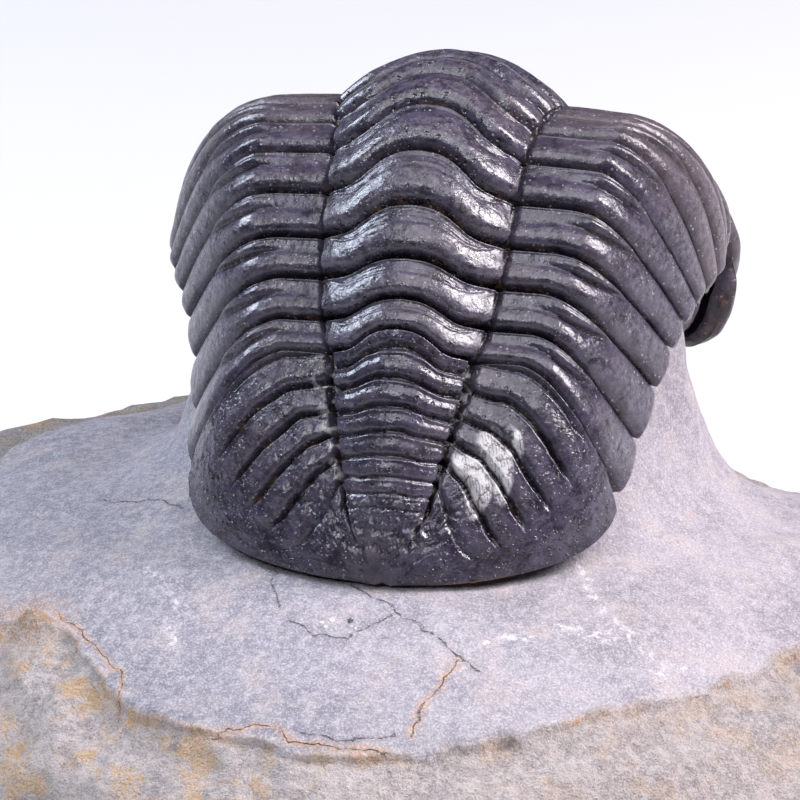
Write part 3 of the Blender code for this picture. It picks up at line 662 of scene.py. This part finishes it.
def pygidium(material):
    """The tail plate, with its broken tip and worn patches."""
    stations = SEGMENTS + np.linspace(0, 1, TAIL_ROWS)
    rows, cols = shield_grid(stations, columns(*TAIL_COLUMNS), TAIL_CORNER_ROUND)
    share = rows - SEGMENTS
    side = np.abs(cols)
    base = envelope(cols, rows)
    wander = 0.006 * fractal(base, 1.8, 2, 300)
    height, ribs_fade, rings_fade = tail_relief(cols, rows + wander)
    height = height + 0.025 * fractal(base, 1.5, 3, 310)
    rough = ramp(0.58, 0.7, share) * fade(0.84, 0.94, share) * fade(0.35, 0.5, side)
    height = height + BROKEN_TIP * rough * fractal(base, 0.8, 4, 320)
    left_back = bump(cols, -0.42, 0.1) * bump(share, 0.6, 0.1)
    height = height + 0.16 * left_back * fractal(base, 0.7, 3, 325)
    outside = even(AXIS_EDGE, 1, side)
    border = np.maximum(ramp(0.35, 0.62, outside), ramp(0.5, 0.75, share) * ramp(0.05, 0.2, outside))
    grain, _ = cells(base, GRANULE_PITCH, 330)
    height = height + GRANULE_HEIGHT * fade(0.05, 0.16, grain) * border
    outer = surface(cols, rows, height)
    inner = inner_face(cols, rows, INNER_STEP)
    top, _, _ = tail_relief(np.zeros(1), np.full(1, BACK))
    ragged = 0.02 * noise(base, 0.8, 340)
    calcite = np.maximum.reduce([blob(cols + ragged, share + ragged, *patch) for patch in CALCITE])
    calcite = calcite * ramp(-0.35, -0.2, height)
    beside = bump(cols, -AXIS_EDGE - 0.022, 0.03) + 0.8 * bump(cols, AXIS_EDGE + 0.014, 0.018)
    beside = beside * ramp(0.0, 0.05, share) * fade(0.55, 0.66, share)
    frayed = ramp(0.08, 0.3, noise(base, 0.5, 345))
    behind = bump(np.hypot((side - 0.2) / 0.2, (share - 0.72) / 0.09), 0, 1)
    scraps = ramp(0.5, 0.65, noise(base, 0.32, 348)) * behind
    calcite = np.maximum.reduce([calcite, frayed * beside, 0.8 * scraps])
    pitted = 0.5 * ribs_fade + 0.6 * rings_fade * fade(AXIS_EDGE - 0.03, AXIS_EDGE, side)
    at_edge = np.maximum(ramp(0.93, 0.955, side), ramp(0.96, 0.975, share)) * ramp(0.5, 0.6, share)
    rust = at_edge * bump(base[..., 0], *RUSTY_EDGE)
    marks = shell_marks(outer, height, pitted, border, calcite, rust)
    plate = closed_plate(outer, inner, INNER_STEP, tip_points(BACK, top), False)
    add_piece("pygidium", *plate, marks, material, "fossil_shell")


def around(loop, angle):
    """Radius and height of a loop of spokes at an angle, smooth all the way round."""
    spokes = range(-2, SPOKES + 3)
    turns = [k * 360 / SPOKES for k in spokes]
    radius = [loop[k % SPOKES][0] for k in spokes]
    height = [loop[k % SPOKES][1] for k in spokes]
    degrees = np.degrees(angle) % 360
    return smooth(list(zip(turns, radius)), degrees), smooth(list(zip(turns, height)), degrees)


def ring_at(angle, radius, height):
    return np.stack([radius * np.sin(angle), HUB_Y - radius * np.cos(angle), height], -1)


def rock_centre():
    """Middle of the rock's outline, seen from above."""
    angle = np.radians(np.arange(0, 360, 2))
    outline = ring_at(angle, *around(RIM, angle))
    return 0.5 * (outline[:, :2].min(0) + outline[:, :2].max(0))


ROCK_CENTRE = rock_centre()


def rock_stations():
    """Stations whose margin points stand close together in front and further apart behind."""
    station = np.linspace(BACK, FRONT, 4001)
    edge = envelope(1.0, station)
    angle = np.degrees(np.arctan2(edge[:, 0], HUB_Y - edge[:, 1]))
    in_front = np.linspace(0, 80, 190)[1:]
    behind = np.linspace(80, 180, 70)[1:-1]
    return np.interp(np.concatenate([in_front, behind]), angle, station)


def natural_rock(angle, radius, points):
    """0 on the prepared ground, 1 on the rough natural rock, and the distance beyond their border."""
    degrees = (np.degrees(angle) + 180) % 360 - 180
    beyond = radius - smooth(PREPARED, degrees)
    return ramp(-0.25, 0.25, beyond + 0.5 * noise(points, 1.6, 400)), beyond


def matrix_rock(material):
    """The rock: pedestal under the plates, prepared ground, rough natural rim, sides and base."""
    stations = rock_stations()
    across = columns(*ROCK_COLUMNS)
    wide = len(across)
    depth = -(PLATE + CORE_GAP)
    core = surface(across[None, :], stations[:, None], np.full((len(stations), wide), depth))
    right, left = envelope(1.0, stations), envelope(-1.0, stations)
    poles = [surface(0.0, s, np.array(depth)) for s in (BACK, FRONT)]
    loop = np.concatenate([[poles[0]], core[:, -1], [poles[1]], core[::-1, 0]])
    margins = np.concatenate([[envelope(0.0, BACK)], right, [envelope(0.0, FRONT)], left[::-1]])
    angle = np.arctan2(loop[:, 0], HUB_Y - loop[:, 1])
    radius = np.hypot(loop[:, 0], HUB_Y - loop[:, 1])
    below = np.minimum(loop[:, 2], margins[:, 2]) - EDGE_GAP
    tucked = radius - smooth(TUCK, np.degrees(np.abs(angle)))
    foot_r, foot_z = around(FOOT, angle)
    edge_r, edge_z = around(PAD_EDGE, angle)
    rim_r, rim_z = around(RIM, angle)
    keys = [(tucked, below),
            (tucked + 0.12 * (foot_r - tucked), below + 0.45 * (foot_z - below)),
            (tucked + 0.45 * (foot_r - tucked), below + 0.82 * (foot_z - below)),
            (foot_r, foot_z),
            (0.5 * (foot_r + edge_r), 0.5 * (foot_z + edge_z) + 0.3),
            (edge_r, edge_z),
            (0.35 * edge_r + 0.65 * rim_r, 0.55 * edge_z + 0.45 * rim_z),
            (rim_r, rim_z),
            (rim_r - 0.3 * BASE_INSET, 0.5 * (rim_z + BASE_Z)),
            (rim_r - BASE_INSET, np.full_like(rim_z, BASE_Z))]
    places = [0, 1.0, 1.7, 2.6, 3.8, 5.0, 6.2, 7.2, 8.0, 9.0]
    wanted = np.concatenate([np.linspace(0, 2.6, 46), np.linspace(2.6, 5.0, 64)[1:],
                             np.linspace(5.0, 7.2, 56)[1:], np.linspace(7.2, 9.0, 22)[1:]])
    rows_r = rounded(places, [r for r, _ in keys], wanted)
    rows_z = rounded(places, [z for _, z in keys], wanted)
    grid = ring_at(angle[None, :], rows_r, rows_z)
    grid, marks = weather(grid, angle[None, :], rows_r, wanted)
    first = np.concatenate([core.reshape(-1, 3), poles])
    points = np.concatenate([first, grid.reshape(-1, 3)])
    chain = chain_of(len(stations), wide)
    faces = grid_faces(len(stations), wide, 0, True)
    last = (len(stations) - 1) * wide
    faces += [[a, a + 1, len(first) - 2] for a in range(wide - 1)]
    faces += [[a + 1, a, len(first) - 1] for a in range(last, last + wide - 1)]
    rings = len(chain)
    for row in range(len(grid)):
        ring = list(range(len(first) + row * rings, len(first) + (row + 1) * rings))
        faces += band_faces(ring + ring[:1], chain + chain[:1])
        chain = ring
    faces.append(chain)
    unseen = np.zeros(len(first))
    marks = {name: np.concatenate([unseen, values.ravel()]) for name, values in marks.items()}
    add_piece("matrix_rock", points, faces, marks, material, "matrix")


def chain_of(rows, cols):
    """Vertex numbers round the core: the tail's pole, the right edge, the head's pole, the left edge."""
    right = [row * cols + cols - 1 for row in range(rows)]
    left = [row * cols for row in range(rows)]
    return [rows * cols] + right + [rows * cols + 1] + left[::-1]


def rounded(places, values, wanted):
    """Smooth rows through key rows, column by column."""
    values = np.array(values)
    slopes = np.gradient(values, places, axis=0)
    slopes[0], slopes[-1] = 0.0, (values[-1] - values[-2]) / (places[-1] - places[-2])
    i = np.clip(np.searchsorted(places, wanted) - 1, 0, len(places) - 2)
    span = np.diff(places)[i][:, None]
    t = (wanted - np.array(places)[i])[:, None] / span
    return cubic(t, span, values[i], values[i + 1], slopes[i], slopes[i + 1])


def weather(grid, angle, radius, wanted):
    """Rough the rock up: smooth where it was prepared, broken and grainy where it wasn't."""
    natural, beyond = natural_rock(angle, radius, grid)
    high = wanted[:, None] + 0 * angle
    natural = np.where(high > 7.4, 1.0, natural)
    keep = ramp(0, 0.8, high) * fade(8.6, 9.0, high)
    down = np.diff(grid, axis=0, append=grid[-1:] + (grid[-1:] - grid[-2:-1]))
    side = np.roll(grid, -1, axis=1) - np.roll(grid, 1, axis=1)
    normal = np.cross(down, side)
    normal = normal / np.maximum(np.linalg.norm(normal, axis=-1, keepdims=True), 1e-9)
    ledge = -LEDGE_DEPTH * ramp(-0.1, 0.35, beyond) * fade(1.5, 4.0, beyond)
    facets, number = cells(grid + 0.6 * fractal(grid, 2.0, 2, 410)[..., None], 2.6, 420)
    coarse = LUMP_HEIGHT * fractal(grid, 5.0, 5, 430)
    coarse = coarse + FACET_STEP * (number - 0.5) * fade(0.8, 1.6, facets)
    fine = 0.10 * fractal(grid, 3.5, 3, 440) + 0.02 * fractal(grid, 0.7, 2, 450)
    knob = KNOB_HEIGHT * bump(np.hypot(grid[..., 0] - KNOB[0], grid[..., 1] - KNOB[1]), 0, 2.2)
    height = natural * (coarse + ledge + knob) + (1 - natural) * fine
    on_knob = np.hypot((grid[..., 0] - KNOB_STAIN[0]) / 1.2, grid[..., 1] - KNOB_STAIN[1])
    stain = np.maximum(bump(on_knob, 0, 2.1),
                       0.9 * bump(beyond, 0.1, 0.22) * ramp(-0.1, 0.5, noise(grid, 3.0, 460)))
    far_left = ramp(12, 20, -grid[..., 0]) * ramp(4, 10, grid[..., 1])
    # darker grey-green patches on the natural rock, strongest towards the far left
    far_left_dark = ramp(0.1, 0.7, fractal(grid, 4.0, 3, 470) + far_left) * natural * (0.2 + 0.8 * far_left)
    marks = dict(natural=natural, stain=stain * ramp(4, 5, high), far_left_dark=far_left_dark)
    return grid + normal * (height * keep)[..., None], marks


class Paint:
    """A material's node tree, written as short calls that pass sockets on; lengths in millimetres."""

    def __init__(self, name):
        self.material = bpy.data.materials.new(name)
        self.material.use_nodes = True
        self.nodes = self.material.node_tree.nodes
        self.links = self.material.node_tree.links
        self.shader = self.nodes["Principled BSDF"]
        self.place = self.vector("SCALE", self.node("TexCoord").outputs["Object"], scale=1 / MM)

    def feed(self, socket, value):
        if isinstance(value, bpy.types.NodeSocket):
            self.links.new(value, socket)
        else:
            socket.default_value = value

    def node(self, kind, **inputs):
        """A new node with values or other nodes' sockets on its inputs."""
        node = self.nodes.new("ShaderNode" + kind)
        for name, value in inputs.items():
            self.feed(node.inputs[name], value)
        return node

    def noise(self, size, detail=3.0, roughness=0.55):
        """Noise from 0 to 1 with lumps of a size."""
        node = self.node("TexNoise", Vector=self.place, Scale=1 / size, Detail=detail, Roughness=roughness)
        return node.outputs["Fac"]

    def cells(self, size):
        """Distance to the nearest of points strewn at a pitch, as a share of it."""
        return self.node("TexVoronoi", Vector=self.place, Scale=1 / size).outputs["Distance"]

    def maths(self, operation, first, second=0.0):
        node = self.node("Math")
        node.operation = operation
        self.feed(node.inputs[0], first)
        self.feed(node.inputs[1], second)
        return node.outputs[0]

    def times(self, first, second):
        return self.maths("MULTIPLY", first, second)

    def plus(self, first, second):
        return self.maths("ADD", first, second)

    def minus(self, first, second):
        return self.maths("SUBTRACT", first, second)

    def ease(self, value, low, high, start=0.0, end=1.0):
        """start below low, end above high, eased between."""
        node = self.node("MapRange", Value=value)
        node.interpolation_type = "SMOOTHSTEP"
        for socket, number in zip(("From Min", "From Max", "To Min", "To Max"), (low, high, start, end)):
            node.inputs[socket].default_value = number
        return node.outputs["Result"]

    def spots(self, size, low, high):
        """Spots strewn at a pitch: 1 inside low of their middles, 0 beyond high."""
        return self.ease(self.cells(size), low, high, 1.0, 0.0)

    def blend(self, factor, first, second):
        """One colour going to another as the factor goes from 0 to 1."""
        node = self.node("Mix", Factor=factor)
        node.data_type = "RGBA"
        for socket, tint in ((6, first), (7, second)):
            self.feed(node.inputs[socket], (*tint, 1.0) if isinstance(tint, tuple) else tint)
        return node.outputs[2]

    def mark(self, name):
        """A number that is kept at the mesh's vertices."""
        node = self.node("Attribute")
        node.attribute_name = name
        return node.outputs["Fac"]

    def vector(self, operation, first, second=None, scale=None, output=0):
        node = self.node("VectorMath")
        node.operation = operation
        self.feed(node.inputs[0], first)
        if second is not None:
            self.feed(node.inputs[1], second)
        if scale is not None:
            self.feed(node.inputs["Scale"], scale)
        return node.outputs[output]

    def near(self, lines, place):
        """Distance in plan to the nearest of some lines, given in the body's own frame."""
        nearest = None
        for line in lines:
            for start, end in zip(line, line[1:]):
                start = (start[0] - ROCK_CENTRE[0], start[1] - ROCK_CENTRE[1], 0.0)
                end = (end[0] - ROCK_CENTRE[0], end[1] - ROCK_CENTRE[1], 0.0)
                run = Vector(end) - Vector(start)
                away = self.vector("SUBTRACT", place, start)
                along = self.vector("DOT_PRODUCT", away, tuple(run / run.length_squared), output="Value")
                foot = self.vector("SCALE", tuple(run), scale=self.node("Clamp", Value=along).outputs[0])
                gap = self.vector("LENGTH", self.vector("SUBTRACT", away, foot), output="Value")
                nearest = gap if nearest is None else self.maths("MINIMUM", nearest, gap)
        return nearest

    def strokes(self, across, pitch):
        """Fine dark lines that run one way over a patch."""
        step = (across[0] / pitch, across[1] / pitch, 0.0)
        wave = self.vector("DOT_PRODUCT", self.place, step, output="Value")
        wave = self.plus(wave, self.times(self.noise(0.8), 3.0))
        line = self.maths("ABSOLUTE", self.minus(self.maths("FRACT", wave), 0.5))
        broken = self.ease(self.noise(0.5, 2.0), 0.4, 0.55)
        return self.times(self.ease(line, 0.06, 0.14, 1.0, 0.0), broken)

    def wobbled(self, size, reach):
        """The place in plan, shifted by noise."""
        node = self.node("TexNoise", Vector=self.place, Scale=1 / size, Detail=4.0)
        shift = self.vector("SUBTRACT", node.outputs["Color"], (0.5, 0.5, 0.5))
        moved = self.vector("ADD", self.place, self.vector("SCALE", shift, scale=reach))
        return self.vector("MULTIPLY", moved, (1.0, 1.0, 0.0))

    def bumped(self, height):
        """The normal of a surface raised by a height in millimetres."""
        return self.node("Bump", Distance=MM, Height=height).outputs["Normal"]


def shell_material():
    """Dark glossy fossil shell: violet black, pitted, browner to the front, with pale dust that is partly
    a painted highlight on its crests, and painted shade in its grooves and pits.
    """
    p = Paint("fossil_shell_look")
    grain = p.noise(0.14, 3.0, 0.65)
    ragged = p.ease(p.noise(0.3), 0.4, 0.6)
    pits = p.maths("MAXIMUM", p.times(p.spots(0.34, 0.1, 0.24), ragged), p.spots(0.75, 0.1, 0.2))
    pits = p.times(pits, p.mark("pitted"))
    p.feed(p.shader.inputs["Base Color"], shell_colour(p, grain, pits))
    p.feed(p.shader.inputs["Roughness"], shell_gloss(p))
    p.feed(p.shader.inputs["Normal"], p.bumped(shell_height(p, grain, pits)))
    p.shader.inputs["Specular IOR Level"].default_value = 0.72
    return p.material


def shell_colour(p, grain, pits):
    """Dark cloudy base, then pale dust that is partly a painted highlight on the crests, painted shade in
    the grooves and rust there, flecks and crumbs, painted shade in the pits, and worn patches.
    """
    cloud = p.noise(1.1, 4.0, 0.65)
    base = p.blend(p.ease(cloud, 0.34, 0.66), (0.018, 0.015, 0.028), (0.066, 0.057, 0.092))
    base = p.blend(p.times(p.mark("warm"), 0.5), base, (0.10, 0.075, 0.075))
    # pale dust on the crests, partly a painted highlight along them
    dust_and_highlight = p.times(p.ease(p.noise(0.35, 5.0, 0.7), 0.42, 0.62), p.mark("crest"))
    base = p.blend(p.times(dust_and_highlight, 0.45), base, (0.17, 0.15, 0.18))
    base = p.blend(p.ease(grain, 0.52, 0.75, 0.0, 0.3), base, (0.13, 0.11, 0.17))
    # painted shade: the low parts of the shell painted near black
    base = p.blend(p.times(p.mark("groove"), 0.85), base, (0.006, 0.005, 0.007))
    rust = p.times(p.ease(p.noise(0.8), 0.55, 0.68), p.mark("groove"))
    rust = p.maths("MAXIMUM", p.times(rust, 0.6), p.mark("rust"))
    base = p.blend(rust, base, (0.16, 0.085, 0.04))
    fleck = p.times(p.spots(0.34, 0.16, 0.24), p.ease(p.noise(0.8), 0.5, 0.6))
    crumb = p.times(p.spots(0.19, 0.14, 0.24), p.ease(p.noise(1.3), 0.5, 0.62))
    base = p.blend(p.times(p.maths("MAXIMUM", fleck, crumb), 0.75), base, (0.36, 0.34, 0.38))
    # painted shade: the pits painted near black
    base = p.blend(p.times(pits, 0.8), base, (0.008, 0.007, 0.01))
    cross = p.maths("MAXIMUM", p.strokes((0.9, 0.35), 0.16), p.strokes((-0.2, 1.0), 0.5))
    pale = p.blend(p.ease(p.noise(0.5), 0.35, 0.65), (0.66, 0.64, 0.66), (0.42, 0.40, 0.44))
    return p.blend(p.mark("calcite"), base, p.blend(cross, pale, (0.13, 0.12, 0.13)))


def shell_gloss(p):
    """Roughness: cloudy, duller to the front, glossier where it is pitted or granular."""
    gloss = p.ease(p.noise(0.45, 5.0, 0.65), 0.35, 0.68, 0.16, 0.36)
    gloss = p.plus(gloss, p.times(p.mark("warm"), 0.1))
    wet = p.maths("MAXIMUM", p.mark("pitted"), p.mark("granular"))
    return p.minus(gloss, p.times(wet, 0.06))


def shell_height(p, grain, pits):
    """Fine grain and ripples, sunken pits, and granules on the tail's border."""
    granules = p.times(p.spots(0.3, 0.1, 0.3), p.mark("granular"))
    granules = p.times(granules, p.ease(p.noise(1.0, 2.0), 0.35, 0.6, 0.2, 1.0))
    height = p.plus(p.times(grain, 0.022), p.times(p.noise(0.6, 2.0, 0.5), 0.085))
    return p.plus(p.minus(height, p.times(pits, 0.06)), p.times(granules, 0.08))


def rock_material():
    """Lilac-grey limestone, dull all over."""
    p = Paint("matrix_look")
    natural = p.mark("natural")
    mottle = p.noise(0.6, 6.0, 0.72)
    grain = p.noise(0.13, 3.0, 0.7)
    base, line, crystals, pit = rock_lines(p, rock_ground(p, natural, mottle), mottle)
    speck = p.times(p.spots(0.42, 0.1, 0.2), p.ease(p.noise(1.1), 0.5, 0.62))
    base = p.blend(p.times(speck, 0.55), base, (0.13, 0.13, 0.19))
    contrast = p.ease(natural, 0, 1, 0.4, 0.55)
    base = p.blend(p.times(p.ease(grain, 0.46, 0.66), contrast), base, (0.80, 0.76, 0.76))
    dark = p.times(p.ease(grain, 0.32, 0.44, 0.8, 0.0), contrast)
    p.feed(p.shader.inputs["Base Color"], p.blend(dark, base, (0.18, 0.15, 0.17)))
    p.shader.inputs["Roughness"].default_value = 0.82
    height = p.times(grain, p.ease(natural, 0, 1, 0.05, 0.2))
    height = p.plus(height, p.times(mottle, p.ease(natural, 0, 1, 0.1, 0.55)))
    height = p.minus(p.minus(height, p.times(line, 0.12)), p.times(pit, 0.2))
    p.feed(p.shader.inputs["Normal"], p.bumped(p.plus(height, p.times(crystals, 0.1))))
    return p.material


def rock_ground(p, natural, mottle):
    """Grey where it was prepared, with painted shade that makes it darker and bluer on the left; pinkish,
    tan and dark where it broke; stains.
    """
    cloud = p.noise(5.0, 5.0, 0.6)
    west = p.vector("DOT_PRODUCT", p.place, (1.0, 0.25, 0.0), output="Value")
    # painted shade: a mask that darkens the prepared ground towards the left, in a bluer grey
    left_shade = p.ease(p.plus(west, p.times(cloud, 14.0)), -6.0, 14.0, 1.0, 0.0)
    worked = p.blend(p.ease(cloud, 0.3, 0.7), (0.245, 0.23, 0.275), (0.375, 0.35, 0.40))
    worked = p.blend(p.times(left_shade, 0.65), worked, (0.185, 0.185, 0.235))
    worked = p.blend(p.ease(mottle, 0.42, 0.66, 0.0, 0.75), worked, (0.45, 0.42, 0.465))
    worked = p.blend(p.ease(mottle, 0.30, 0.46, 0.35, 0.0), worked, (0.19, 0.175, 0.22))
    pink = p.times(p.ease(p.noise(2.6, 4.0), 0.5, 0.68), 0.35)
    worked = p.blend(pink, worked, (0.52, 0.42, 0.40))
    broken = p.blend(p.ease(cloud, 0.35, 0.65), (0.41, 0.36, 0.375), (0.55, 0.475, 0.465))
    broken = p.blend(p.ease(mottle, 0.42, 0.6), broken, (0.68, 0.60, 0.59))
    tan = p.times(p.ease(p.noise(2.2, 5.0, 0.65), 0.48, 0.64), p.ease(west, -2.0, -16.0, 0.3, 0.9))
    broken = p.blend(tan, broken, (0.70, 0.44, 0.22))
    broken = p.blend(p.ease(p.noise(1.7, 4.0), 0.62, 0.72, 0.0, 0.5), broken, (0.17, 0.15, 0.17))
    # the natural rock darker grey-green in patches, most towards the far left
    broken = p.blend(p.times(p.mark("far_left_dark"), 0.45), broken, (0.13, 0.13, 0.10))
    stain = p.times(p.mark("stain"), p.ease(p.noise(0.5, 4.0), 0.3, 0.6))
    return p.blend(stain, p.blend(natural, worked, broken), (0.45, 0.24, 0.10))


def rock_lines(p, base, mottle):
    """Veins, rusty cracks, open cracks, a chip's crystals and a pit over the colour; and their masks."""
    plan = p.wobbled(2.2, 2.4)
    fine = p.wobbled(1.3, 1.1)
    vein = p.ease(p.near(VEINS, plan), 0.02, 0.42, 0.75, 0.0)
    vein = p.times(vein, p.ease(p.noise(0.5, 5.0, 0.75), 0.46, 0.62))
    base = p.blend(vein, base, (0.78, 0.74, 0.76))
    to_rust = p.near(RUSTY_CRACKS, fine)
    rust_edge = p.times(p.ease(to_rust, 0.0, 0.4, 0.85, 0.0), p.ease(mottle, 0.36, 0.56, 0.25, 1.0))
    base = p.blend(rust_edge, base, (0.50, 0.30, 0.19))
    to_crack = p.near(CRACKS + CHIP, fine)
    base = p.blend(p.ease(to_crack, 0.1, 0.45, 0.35, 0.0), base, (0.20, 0.19, 0.23))
    line = p.ease(p.maths("MINIMUM", to_crack, p.plus(to_rust, 0.02)), 0.02, 0.075, 1.0, 0.0)
    line = p.times(line, p.ease(p.noise(0.9, 4.0, 0.7), 0.36, 0.56, 0.15, 1.0))
    base = p.blend(p.times(line, 0.85), base, (0.05, 0.045, 0.05))
    crystals = p.ease(p.near([[CRYSTALS, CRYSTALS_END]], plan), 0.35, 0.7, 1.0, 0.0)
    crystals = p.times(crystals, p.spots(0.5, 0.2, 0.4))
    base = p.blend(p.times(crystals, 0.8), base, (0.82, 0.80, 0.82))
    pit = p.ease(p.near([[PIT, PIT_END]], fine), 0.1, 0.22, 1.0, 0.0)
    return p.blend(pit, base, (0.015, 0.015, 0.015)), line, crystals, pit


def floor_material():
    material = bpy.data.materials.new("floor_look")
    material.use_nodes = True
    shader = material.node_tree.nodes["Principled BSDF"]
    shader.inputs["Base Color"].default_value = FLOOR_TINT
    shader.inputs["Roughness"].default_value = FLOOR_ROUGHNESS
    return material


def aim(thing, place, target, roll=0.0):
    """Put a light or the camera at a place, in millimetres in the body's frame, facing a target."""
    start = Vector(placed(np.array(place, float)) * MM)
    look = Vector(placed(np.array(target, float)) * MM) - start
    turn = look.to_track_quat("-Z", "Y").to_matrix() @ Matrix.Rotation(math.radians(roll), 3, "Z")
    thing.matrix_world = Matrix.Translation(start) @ turn.to_4x4()


def set_camera():
    data = bpy.data.cameras.new("camera")
    data.lens = LENS
    data.sensor_width = SENSOR
    data.clip_start, data.clip_end = 0.01, 10.0
    camera = put("camera", data)
    turn, lift = math.radians(AZIMUTH), math.radians(ELEVATION)
    back = np.array([math.sin(turn) * math.cos(lift), -math.cos(turn) * math.cos(lift), math.sin(lift)])
    aim(camera, np.array(TARGET) + DISTANCE * back, TARGET, ROLL)
    bpy.context.scene.camera = camera


def softbox(name, place, size, watts, tint):
    data = bpy.data.lights.new(name, "AREA")
    data.shape = "RECTANGLE"
    data.size, data.size_y = size[0] * MM, size[1] * MM
    data.energy = watts
    data.color = tint
    aim(put(name, data), place, LIT)


def set_stage():
    """Pale floor, softboxes from the sides, above and in front, and a little light from all round."""
    data = bpy.data.meshes.new("floor")
    half = FLOOR_HALF * MM
    corners = [(-half, -half, 0), (half, -half, 0), (half, half, 0), (-half, half, 0)]
    data.from_pydata(corners, [], [(0, 1, 2, 3)])
    data.materials.append(floor_material())
    put("floor", data)
    for light in SOFTBOXES:
        softbox(*light)
    world = bpy.data.worlds.new("surroundings")
    world.use_nodes = True
    world.node_tree.nodes["Background"].inputs["Color"].default_value = SKY_TINT
    world.node_tree.nodes["Background"].inputs["Strength"].default_value = SKY_STRENGTH
    bpy.context.scene.world = world
    bpy.context.scene.view_settings.view_transform = "Standard"


def build():
    set_camera()
    set_stage()
    shell = shell_material()
    matrix_rock(rock_material())
    cephalon(shell)
    for number in range(1, SEGMENTS + 1):
        thoracic_segment(number, shell)
    pygidium(shell)


build()
